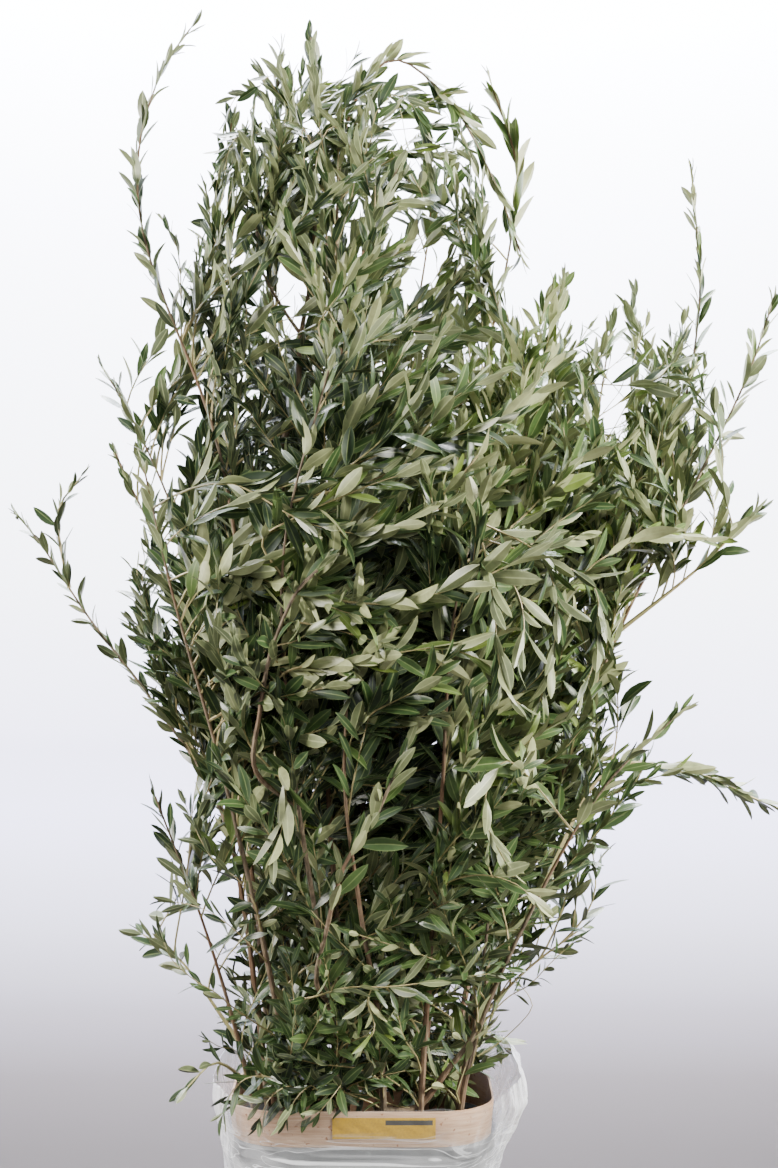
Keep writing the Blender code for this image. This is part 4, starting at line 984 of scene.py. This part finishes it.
# olive leaf, underside: felted with fine scales, so silvery and matt
underSide = leafMaterial("olive leaf underside",
    ((0.1, "#9a9e72"), (0.35, "#747b55"), (0.6, "#656e4b"), (0.85, "#475138")),
    rib=("#a4ab7c", 0.55), rim=0.5, roughness=0.42, relief=0.0003)


def barkMaterial(name, stops, patches, grain, roughness):
    # a short upright grain with larger patches of another tone
    material = newMaterial(name)
    place = addNode(material, "TexCoord")
    squeeze = addNode(material, "Mapping", {"Scale": (1.0, 1.0, 0.25)}, {"Vector": (place, "Object")})
    noise = addNode(material, "TexNoise", {"Scale": grain, "Detail": 5.0, "Roughness": 0.65},
        {"Vector": (squeeze, "Vector")})
    colour = addNode(material, "ValToRGB", links={"Fac": (noise, "Fac")}, stops=stops)
    wide = addNode(material, "TexNoise", {"Scale": 7.0, "Detail": 1.0},
        {"Vector": (place, "Object")})
    much = addNode(material, "MapRange", {"From Min": 0.45, "From Max": 0.65, "To Max": 0.6},
        {"Value": (wide, "Fac")})
    mixed = addNode(material, "Mix", {7: patches}, {0: (much, 0), 6: (colour, "Color")},
        data_type="RGBA")
    bump = addNode(material, "Bump", {"Strength": 0.6, "Distance": 0.0008},
        {"Height": (noise, "Fac")})
    finishOf(material, Base_Color=(mixed, 2), Roughness=roughness, Normal=(bump, 0))
    return material


# young olive twig: smooth skin, yellow-green going to beige
youngTwig = barkMaterial("young olive twig", ((0.3, "#7d7150"), (0.5, "#9a8c63"), (0.7, "#b0a37a")),
    patches="#8c8a58", grain=120.0, roughness=0.55)
# olive bark on cut stems: thin, grey-brown with redder patches, and a short upright grain
oldBark = barkMaterial("olive bark", ((0.32, "#3d3329"), (0.5, "#625443"), (0.68, "#85765f")),
    patches="#6f4e35", grain=160.0, roughness=0.8)

for name in branches:
    leafPart = leafMesh(f"{name}Leaves", leaves[name])
    thick = woodCurve(f"{name}Stem", [p for p in wood[name] if p.kind == "bark"], stemShape["barkSides"])
    thin = woodCurve(f"{name}Twigs", [p for p in wood[name] if p.kind == "twig"], stemShape["twigSides"])
    startFresh()
    for part, finishes in ((thick, (oldBark,)), (thin, (youngTwig,)), (leafPart, (upperSide, underSide))):
        bpy.context.scene.collection.objects.link(part)
        for material in finishes:
            part.data.materials.append(material)
        part.select_set(True)
    bpy.context.view_layer.objects.active = thick
    bpy.ops.object.convert(target="MESH")
    startFresh()
    for part in (thick, thin, leafPart):
        part.select_set(True)
    bpy.context.view_layer.objects.active = leafPart
    bpy.ops.object.join()
    branch = bpy.context.object
    branch.name = "leafy" + name.title().replace("_", "")
    bpy.ops.object.shade_smooth_by_angle(angle=math.radians(40))
    settle(branch, "olive_foliage", name)
print("branches dressed")


# the bucket: width and depth at foot and rim, and how smooth its corners are
bucketShape = {"height": 0.255, "foot": (0.336, 0.238), "rim": (0.378, 0.280),
    "corner": 0.085, "cornerSteps": 12, "wall": 0.0035,
    # heights up the outside, with how far the foot, the ribs and the rim stand off it, and down the inside
    "outside": ((0.0, -0.003), (0.003, 0.0), (0.010, 0.0), (0.012, -0.002), (0.018, -0.002), (0.020, 0.0),
        (0.118, 0.0), (0.120, 0.0012), (0.126, 0.0012), (0.128, 0.0), (0.232, 0.0), (0.235, 0.0035),
        (0.251, 0.0035), (0.255, 0.001)),
    "inside": (0.255, 0.248, 0.10, 0.0035)}


def bucketSize(z, out=0.0):
    # the bucket's width and depth at a height, or those of a line a little outside it
    share = z / bucketShape["height"]
    ends = zip(bucketShape["foot"], bucketShape["rim"])
    return [foot + (rim - foot) * share + 2 * out for foot, rim in ends]


def oblongPlate(name, z, out, segments):
    # a flat oblong with round corners, as the start of a moulded or bent piece
    startFresh()
    bpy.ops.mesh.primitive_plane_add(size=1, location=(0, 0, z))
    plate = bpy.context.object
    plate.name = name
    width, depth = bucketSize(z, out)
    bpy.ops.object.mode_set(mode="EDIT")
    bpy.ops.transform.resize(value=(width, depth, 1))
    bpy.ops.mesh.bevel(offset=bucketShape["corner"] + out, segments=segments, affect="VERTICES")
    bpy.ops.mesh.select_all(action="SELECT")
    return plate


def drawUp(z, out, last):
    # extrudes the selected oblong to a height and an offset from the bucket's outside, and returns them
    width, depth = bucketSize(z, out)
    lastWidth, lastDepth = bucketSize(*last)
    pull(0, 0, z - last[0])
    bpy.ops.transform.resize(value=(width / lastWidth, depth / lastDepth, 1), center_override=(0, 0, z))
    return z, out


def makeBucket():
    # drawn up along the outside, over the rim and down the inside to the floor
    outside = bucketShape["outside"]
    bucket = oblongPlate("waterBucket", *outside[0], bucketShape["cornerSteps"])
    last = outside[0]
    for z, out in outside[1:]:
        last = drawUp(z, out, last)
    for z in bucketShape["inside"]:
        last = drawUp(z, -bucketShape["wall"], last)
    endModelling()
    bpy.ops.object.shade_smooth_by_angle(angle=math.radians(35))
    return bucket


# polypropylene, injection moulded: a fine even grain, and pale scuffs where buckets are stacked
bucketPlastic = newMaterial("moulded grey polypropylene")
place = addNode(bucketPlastic, "TexCoord")
scuffs = addNode(bucketPlastic, "TexNoise", {"Scale": 35.0, "Detail": 6.0, "Roughness": 0.7},
    {"Vector": (place, "Object")})
grain = addNode(bucketPlastic, "TexNoise", {"Scale": 1400.0, "Detail": 1.0}, {"Vector": (place, "Object")})
tint = addNode(bucketPlastic, "ValToRGB", links={"Fac": (scuffs, "Fac")},
    stops=((0.35, "#5d6063"), (0.62, "#686b6e"), (0.75, "#85888a")))
gloss = addNode(bucketPlastic, "MapRange", {"To Min": 0.38, "To Max": 0.6}, {"Value": (scuffs, "Fac")})
relief = addNode(bucketPlastic, "Bump", {"Strength": 0.25, "Distance": 0.0002}, {"Height": (grain, "Fac")})
finishOf(bucketPlastic, Base_Color=(tint, "Color"), Roughness=(gloss, 0), Normal=(relief, 0))

bucket = makeBucket()
bucket.data.materials.append(bucketPlastic)
settle(bucket, "bucket_plastic", "bucket")

collarShape = {"low": 0.190, "high": 0.305, "wall": 0.003, "gap": 0.0003, "levels": 5, "cornerSteps": 14,
    "wornEdge": 0.0006}


def makeCollar():
    # a band drawn up inside the bucket's mouth, open at both ends, with its thickness inwards
    inset = bucketShape["wall"] + collarShape["gap"]
    collar = oblongPlate("boardCollar", collarShape["low"], -inset, collarShape["cornerSteps"])
    last = (collarShape["low"], -inset)
    for z in np.linspace(collarShape["low"], collarShape["high"], collarShape["levels"] + 1)[1:]:
        last = drawUp(float(z), -inset, last)
    bm = bmesh.from_edit_mesh(collar.data)
    for face in bm.faces:
        face.select = abs(face.normal.z) > 0.9  # the flat ends
    bmesh.update_edit_mesh(collar.data)
    bpy.ops.mesh.delete(type="ONLY_FACE")
    endModelling()
    wall = collar.modifiers.new("wall", "SOLIDIFY")
    wall.thickness = collarShape["wall"]
    wall.offset = -1
    wall.use_even_offset = True
    edge = collar.modifiers.new("worn edge", "BEVEL")
    edge.width = collarShape["wornEdge"]
    edge.segments = 2
    edge.limit_method = "ANGLE"
    applyAll(collar)
    bpy.ops.object.shade_smooth_by_angle(angle=math.radians(35))
    return collar


# poplar veneer board, peeled and bent: pale, with a long faint grain and brown specks
veneer = newMaterial("peeled poplar veneer")
place = addNode(veneer, "TexCoord")
stretch = addNode(veneer, "Mapping", {"Scale": (0.35, 0.35, 6.0)}, {"Vector": (place, "Object")})
grain = addNode(veneer, "TexNoise", {"Scale": 60.0, "Detail": 6.0, "Roughness": 0.6, "Distortion": 0.4},
    {"Vector": (stretch, "Vector")})
tint = addNode(veneer, "ValToRGB", links={"Fac": (grain, "Fac")},
    stops=((0.25, "#94704f"), (0.42, "#b18e70"), (0.62, "#c2a488"), (0.8, "#cfb59b")))
pores = addNode(veneer, "TexNoise", {"Scale": 110.0, "Detail": 2.0}, {"Vector": (place, "Object")})
stain = addNode(veneer, "MapRange", {"From Min": 0.66, "From Max": 0.72}, {"Value": (pores, "Fac")})
marked = addNode(veneer, "Mix", {7: "#8a5a34"}, {0: (stain, 0), 6: (tint, "Color")}, data_type="RGBA")
# painted shade: the inner face is darker, for the shade of the branches inside the collar
outward = addNode(veneer, "VectorMath", links={0: (place, "Object"), 1: (place, "Normal")},
    operation="DOT_PRODUCT")
paintedInnerShade = addNode(veneer, "MapRange", {"From Min": -0.04, "From Max": 0.0, "To Min": 0.75, "To Max": 0.0},
    {"Value": (outward, "Value")})
innerShaded = addNode(veneer, "Mix", {7: "#5d4430"}, {0: (paintedInnerShade, 0), 6: (marked, 2)}, data_type="RGBA")
relief = addNode(veneer, "Bump", {"Strength": 0.4, "Distance": 0.0003}, {"Height": (grain, "Fac")})
finishOf(veneer, Base_Color=(innerShaded, 2), Roughness=0.62, Normal=(relief, 0))

collar = makeCollar()
collar.data.materials.append(veneer)
settle(collar, "collar_board", "collar")

labelShape = {"size": (0.144, 0.030), "middle": (0.032, 0.282), "off": 0.0003, "thickness": 0.0004,
    # the ripple's height, its waves across, how far they sway and the waves of that
    "ripple": 0.0002, "waves": (210, 3, 140), "columns": 36, "rows": 8,
    "bar": (0.067, 0.290), "barSize": (0.066, 0.007)}


def makeLabel():
    # a paper strip that lies on the collar's lean, with a faint ripple
    startFresh()
    width, height = labelShape["size"]
    x, z = labelShape["middle"]
    bpy.ops.mesh.primitive_grid_add(x_subdivisions=labelShape["columns"], y_subdivisions=labelShape["rows"],
        size=1, rotation=(math.radians(90), 0, 0))
    label = bpy.context.object
    label.name = "paperLabel"
    label.scale = (width, height, 1)
    bpy.ops.object.transform_apply(location=True, rotation=True, scale=True)
    inset = bucketShape["wall"] + collarShape["gap"]
    across, sway, up = labelShape["waves"]
    for vert in label.data.vertices:
        level = z + vert.co.z
        wave = math.sin(vert.co.x * across + sway * math.sin(vert.co.z * up))
        ripple = labelShape["ripple"] * (1 + wave)
        vert.co = (x + vert.co.x, -bucketSize(level, -inset)[1] / 2 - labelShape["off"] - ripple, level)
    wall = label.modifiers.new("paper", "SOLIDIFY")
    wall.thickness = labelShape["thickness"]
    wall.offset = 1
    applyAll(label)
    return label


# coated paper, printed a warm yellow, with one plain dark bar and no words
labelPaper = newMaterial("yellow coated paper")
place = addNode(labelPaper, "TexCoord")
split = addNode(labelPaper, "SeparateXYZ", links={"Vector": (place, "Object")})
barAcross = addNode(labelPaper, "Math", {1: labelShape["bar"][0], 2: labelShape["barSize"][0] / 2},
    {0: (split, "X")}, operation="COMPARE")
barUp = addNode(labelPaper, "Math", {1: labelShape["bar"][1], 2: labelShape["barSize"][1] / 2},
    {0: (split, "Z")}, operation="COMPARE")
bar = addNode(labelPaper, "Math", links={0: (barAcross, 0), 1: (barUp, 0)}, operation="MULTIPLY")
fibres = addNode(labelPaper, "TexNoise", {"Scale": 300.0, "Detail": 4.0}, {"Vector": (place, "Object")})
yellow = addNode(labelPaper, "ValToRGB", links={"Fac": (fibres, "Fac")},
    stops=((0.3, "#b38c00"), (0.7, "#caa200")))
printed = addNode(labelPaper, "Mix", {7: "#35332c"}, {0: (bar, 0), 6: (yellow, "Color")}, data_type="RGBA")
finishOf(labelPaper, Base_Color=(printed, 2), Roughness=0.7, Specular_IOR_Level=0.12)

label = makeLabel()
label.data.materials.append(labelPaper)
settle(label, "label_paper", "label")

# standing water: its CAD block stays, clear with a slightly green look
stillWater = newMaterial("standing water")
place = addNode(stillWater, "TexCoord")
swell = addNode(stillWater, "TexNoise", {"Scale": 40.0, "Detail": 1.0}, {"Vector": (place, "Object")})
relief = addNode(stillWater, "Bump", {"Strength": 0.1, "Distance": 0.0005}, {"Height": (swell, "Fac")})
finishOf(stillWater, Base_Color="#5d6650", Roughness=0.04, IOR=1.33, Alpha=0.6, Normal=(relief, 0))
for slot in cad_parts["water"].material_slots:
    slot.material = stillWater
print("bucket, collar, label and water are in")


# the clear film
filmShape = {"low": 0.006, "thickness": 0.0003, "sides": 320, "levels": 60, "squareness": 0.46,
    # the top edge: its height at turns round the bucket in degrees, from the right side, over the back
    "top": ((-180, 0.335), (-140, 0.326), (-110, 0.311), (-60, 0.309), (-30, 0.335), (0, 0.358), (35, 0.368),
        (70, 0.356), (110, 0.342), (150, 0.336), (180, 0.335)),
    # how far it stands off the bucket: at these heights, at the front and where it loops out most
    "off": ((0.0, 0.004, 0.006), (0.12, 0.005, 0.008), (0.18, 0.008, 0.008), (0.23, 0.010, 0.014),
        (0.265, 0.005, 0.029), (0.305, 0.003, 0.044), (0.345, 0.006, 0.036), (0.38, 0.008, 0.006)),
    "leastOff": 0.001,
    # where it loops out, how much of that the left side has, and how narrow the loops are
    "loopAt": -8, "leftLoop": 0.45, "rightNarrow": 1.3, "leftNarrow": 1.6,
    # waves of the top edge and of the folds' sway: height, how many go round, and start
    "edgeWaves": ((0.003, 9, 1), (0.001, 23, 0)), "swayWaves": ((1.3, 2, 0.4), (0.7, 5, 2), (0.35, 11, 0)),
    # the level folds below the rim, where they start, how sharp they are, and how they fade and return
    "swag": 0.0060, "swags": 50, "swagZone": (0.262, -0.03), "swagSharpness": 1.5,
    "swagFade": (0.6, 0.4, 3, 60),
    # the pleats above: their depth, what the level folds take from them, what the front has, and two waves
    "pleat": 0.0050, "pleatLoss": 0.75, "frontPleat": 0.25, "pleats": (17, 25, 1.5, 4),
    "finePleats": (29, -31, 0.6), "pleatMiddle": 0.8, "pleatSwing": 0.5}


def waved(value, turn, waves):
    # a value with waves added that go round the bucket
    for height, count, start in waves:
        value += height * math.sin(count * turn + start)
    return value


def filmPoint(turn, share):
    # where a point of the sleeve lies, from its turn round the bucket and its share of the height
    top = waved(np.interp(math.degrees(turn), *zip(*filmShape["top"])), turn, filmShape["edgeWaves"])
    z = filmShape["low"] + (top - filmShape["low"]) * share
    heights, tight, loose = zip(*filmShape["off"])
    right = math.cos(turn - math.radians(filmShape["loopAt"]))
    loop = max(0.0, right) ** filmShape["rightNarrow"]
    loop += filmShape["leftLoop"] * max(0.0, -right) ** filmShape["leftNarrow"]
    out = np.interp(z, heights, tight) * (1 - loop) + np.interp(z, heights, loose) * loop
    below = grown(z, filmShape["swagZone"])
    sway = waved(0.0, turn, filmShape["swayWaves"])
    swag = abs(math.sin(z * filmShape["swags"] + sway)) ** filmShape["swagSharpness"]
    least, swing, around, up = filmShape["swagFade"]
    swag *= least + swing * math.sin(around * turn + z * up)
    out += filmShape["swag"] * below * swag
    around, up, lean, leans = filmShape["pleats"]
    pleat = abs(math.sin(around * turn + up * z + lean * math.sin(leans * turn)))
    around, up, much = filmShape["finePleats"]
    pleat += abs(math.sin(around * turn + up * z)) * much
    fold = filmShape["pleat"] * (1 - filmShape["pleatLoss"] * below) * (filmShape["frontPleat"] + loop)
    out += fold * (filmShape["pleatMiddle"] - filmShape["pleatSwing"] * pleat)
    width, depth = bucketSize(min(z, collarShape["high"]))
    power = filmShape["squareness"]
    across = math.copysign(abs(math.cos(turn)) ** power, math.cos(turn)) * width / 2
    along = math.copysign(abs(math.sin(turn)) ** power, math.sin(turn)) * depth / 2
    grow = 1 + max(out, filmShape["leastOff"]) / math.hypot(across, along)
    return across * grow, along * grow, z


def makeFilm():
    # a creased sleeve: an open tube whose rings are then pulled to their places
    startFresh()
    bpy.ops.mesh.primitive_cylinder_add(vertices=filmShape["sides"], radius=1, depth=1,
        end_fill_type="NOTHING")
    film = bpy.context.object
    film.name = "clearFilm"
    bpy.ops.object.mode_set(mode="EDIT")
    bm = bmesh.from_edit_mesh(film.data)
    # the tube is 1 high, half of it below zero
    upright = [e for e in bm.edges if abs(e.verts[0].co.z - e.verts[1].co.z) > 0.5]
    bmesh.ops.subdivide_edges(bm, edges=upright, cuts=filmShape["levels"] - 1, use_grid_fill=True)
    placeOnSheet = bm.verts.layers.float_vector.new("sheetPlace")
    for vert in bm.verts:
        turn = math.atan2(vert.co.y, vert.co.x)
        share = min(max(vert.co.z + 0.5, 0), 1)
        vert[placeOnSheet] = (math.cos(turn), math.sin(turn), share)
        vert.co = filmPoint(turn, share)
    bmesh.update_edit_mesh(film.data)
    bpy.ops.object.mode_set(mode="OBJECT")
    wall = film.modifiers.new("film", "SOLIDIFY")
    wall.thickness = filmShape["thickness"]
    wall.offset = 0
    applyAll(film)
    bpy.ops.object.shade_smooth()
    return film


# polythene film, blown thin: clear face on, hazy and with a painted reflection where it is seen along, and
# painted highlights as bright lines at its creases
clearFilm = newMaterial("blown polythene film")
place = addNode(clearFilm, "Attribute", attribute_name="sheetPlace")
split = addNode(clearFilm, "SeparateXYZ", links={"Vector": (place, "Vector")})
aside = addNode(clearFilm, "Math", links={0: (split, "X")}, operation="ABSOLUTE")
looped = addNode(clearFilm, "MapRange", {"From Min": 0.68, "From Max": 0.96}, {"Value": (aside, 0)})
belowBand = addNode(clearFilm, "MapRange", {"From Min": 0.79, "From Max": 0.90, "To Min": 1.0, "To Max": 0.0},
    {"Value": (split, "Z")})
loose = addNode(clearFilm, "Math", links={0: (looped, 0), 1: (belowBand, 0)}, operation="MAXIMUM")
along = addNode(clearFilm, "Mapping", {"Scale": (1.0, 1.0, 9.0)}, {"Vector": (place, "Vector")})
haze = addNode(clearFilm, "TexNoise", {"Scale": 1.5, "Detail": 2.0, "Roughness": 0.5, "Distortion": 0.8},
    {"Vector": (along, "Vector")})
# painted highlights: thin bright lines where the lower film creases
wrinkle = addNode(clearFilm, "TexNoise", {"Scale": 1.9, "Detail": 1.0, "Distortion": 1.2},
    {"Vector": (along, "Vector")})
offLine = addNode(clearFilm, "Math", {1: 0.5}, {0: (wrinkle, "Fac")}, operation="SUBTRACT")
offLine = addNode(clearFilm, "Math", links={0: (offLine, 0)}, operation="ABSOLUTE")
paintedCreaseHighlight = addNode(clearFilm, "MapRange", {"From Min": 0.0, "From Max": 0.022, "To Min": 0.55, "To Max": 0.0},
    {"Value": (offLine, 0)})
paintedCreaseHighlight = addNode(clearFilm, "Math", links={0: (paintedCreaseHighlight, 0), 1: (belowBand, 0)}, operation="MULTIPLY")
upright = addNode(clearFilm, "Mapping", {"Scale": (16.0, 7.0, 1.6)}, {"Vector": (place, "Vector")})
streak = addNode(clearFilm, "TexNoise", {"Scale": 1.3, "Detail": 3.0, "Roughness": 0.6, "Distortion": 0.6},
    {"Vector": (upright, "Vector")})
streak = addNode(clearFilm, "MapRange", {"From Min": 0.40, "From Max": 0.70, "To Max": 0.62},
    {"Value": (streak, "Fac")})
streak = addNode(clearFilm, "Math", links={0: (streak, 0), 1: (looped, 0)}, operation="MULTIPLY")
milk = addNode(clearFilm, "MapRange", {"From Min": 0.45, "From Max": 0.75, "To Min": 0.03, "To Max": 0.27},
    {"Value": (haze, "Fac")})
milk = addNode(clearFilm, "Math", links={0: (milk, 0), 1: (loose, 0)}, operation="MULTIPLY")
# haze and painted reflection: the film turns whiter where it is seen along
facing = addNode(clearFilm, "LayerWeight", {"Blend": 0.25})
cover = addNode(clearFilm, "MapRange", {"To Min": 0.02, "To Max": 0.45}, {"Value": (facing, "Facing")})
for layer in (milk, paintedCreaseHighlight, streak):
    cover = addNode(clearFilm, "Math", links={0: (cover, 0), 1: (layer, 0)}, operation="ADD", use_clamp=True)
relief = addNode(clearFilm, "Bump", {"Strength": 0.6, "Distance": 0.0015}, {"Height": (haze, "Fac")})
finishOf(clearFilm, Base_Color="#eef0f6", Roughness=0.16, IOR=1.5, Alpha=(cover, 0), Normal=(relief, 0))

film = makeFilm()
film.data.materials.append(clearFilm)
settle(film, "clear_film", "film")
print("film is wrapped")


# two small fruitlets
fruitlets = {
    # each: its place, the way it hangs, its length, its colours
    "paleFruitlet": ((0.0, -0.335, 1.050), (0.35, -0.3, -0.9), 0.0105, ("#a3a877", "#b9bb92", "#8d9468")),
    "darkFruitlet": ((-0.503, 0.01, 1.133), (-0.6, 0.0, 0.8), 0.0062, ("#2d3324", "#3a3f2b", "#22281d")),
}
# in shares of a fruitlet's length: the stalk, the body's greatest half width, its end point and its outline
fruitShape = {"sides": 14, "stalk": 0.07, "stalkLength": 0.3, "plumpness": 0.36, "point": 0.05,
    "outline": ((0.04, 0.20), (0.14, 0.62), (0.30, 0.92), (0.50, 1.0), (0.70, 0.88), (0.86, 0.60),
        (0.96, 0.26))}


def makeFruitlet(name, place, way, length, colours):
    # a stalk drawn out into a plump body that ends in a small point
    startFresh()
    turn = Vector((0, 0, 1)).rotation_difference(Vector(way))
    stalk = length * fruitShape["stalk"]
    bpy.ops.mesh.primitive_circle_add(vertices=fruitShape["sides"], radius=stalk, fill_type="NGON")
    fruit = bpy.context.object
    fruit.name = name
    bpy.ops.object.mode_set(mode="EDIT")
    bpy.ops.mesh.select_all(action="SELECT")
    height, width = length * fruitShape["stalkLength"], stalk
    pull(0, 0, height)
    for share, fullness in fruitShape["outline"]:
        level = length * (fruitShape["stalkLength"] + share)
        wide = length * fruitShape["plumpness"] * fullness
        pull(0, 0, level - height)
        bpy.ops.transform.resize(value=(wide / width, wide / width, 1), center_override=(0, 0, level))
        height, width = level, wide
    pull(0, 0, length * fruitShape["point"])
    bpy.ops.mesh.merge(type="CENTER")
    endModelling()
    fruit.rotation_euler = turn.to_euler()
    fruit.location = place
    applyAll(fruit)
    bpy.ops.object.shade_smooth()
    # young olive skin: thick and waxy, a pale bloom over small spots
    skin = newMaterial(f"young olive skin {name[:4]}")
    where = addNode(skin, "TexCoord")
    spots = addNode(skin, "TexNoise", {"Scale": 900.0, "Detail": 2.0}, {"Vector": (where, "Object")})
    tint = addNode(skin, "ValToRGB", links={"Fac": (spots, "Fac")},
        stops=((0.35, colours[0]), (0.6, colours[1]), (0.75, colours[2])))
    finishOf(skin, Base_Color=(tint, "Color"), Roughness=0.42)
    fruit.data.materials.append(skin)
    settle(fruit, "olive_foliage")


for name, (place, way, length, colours) in fruitlets.items():
    makeFruitlet(name, place, way, length, colours)
print("fruitlets", len(fruitlets))

size = {"cad": [list(corner) for corner in cadBox], "visual": [list(corner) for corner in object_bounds()]}
print("size", size)
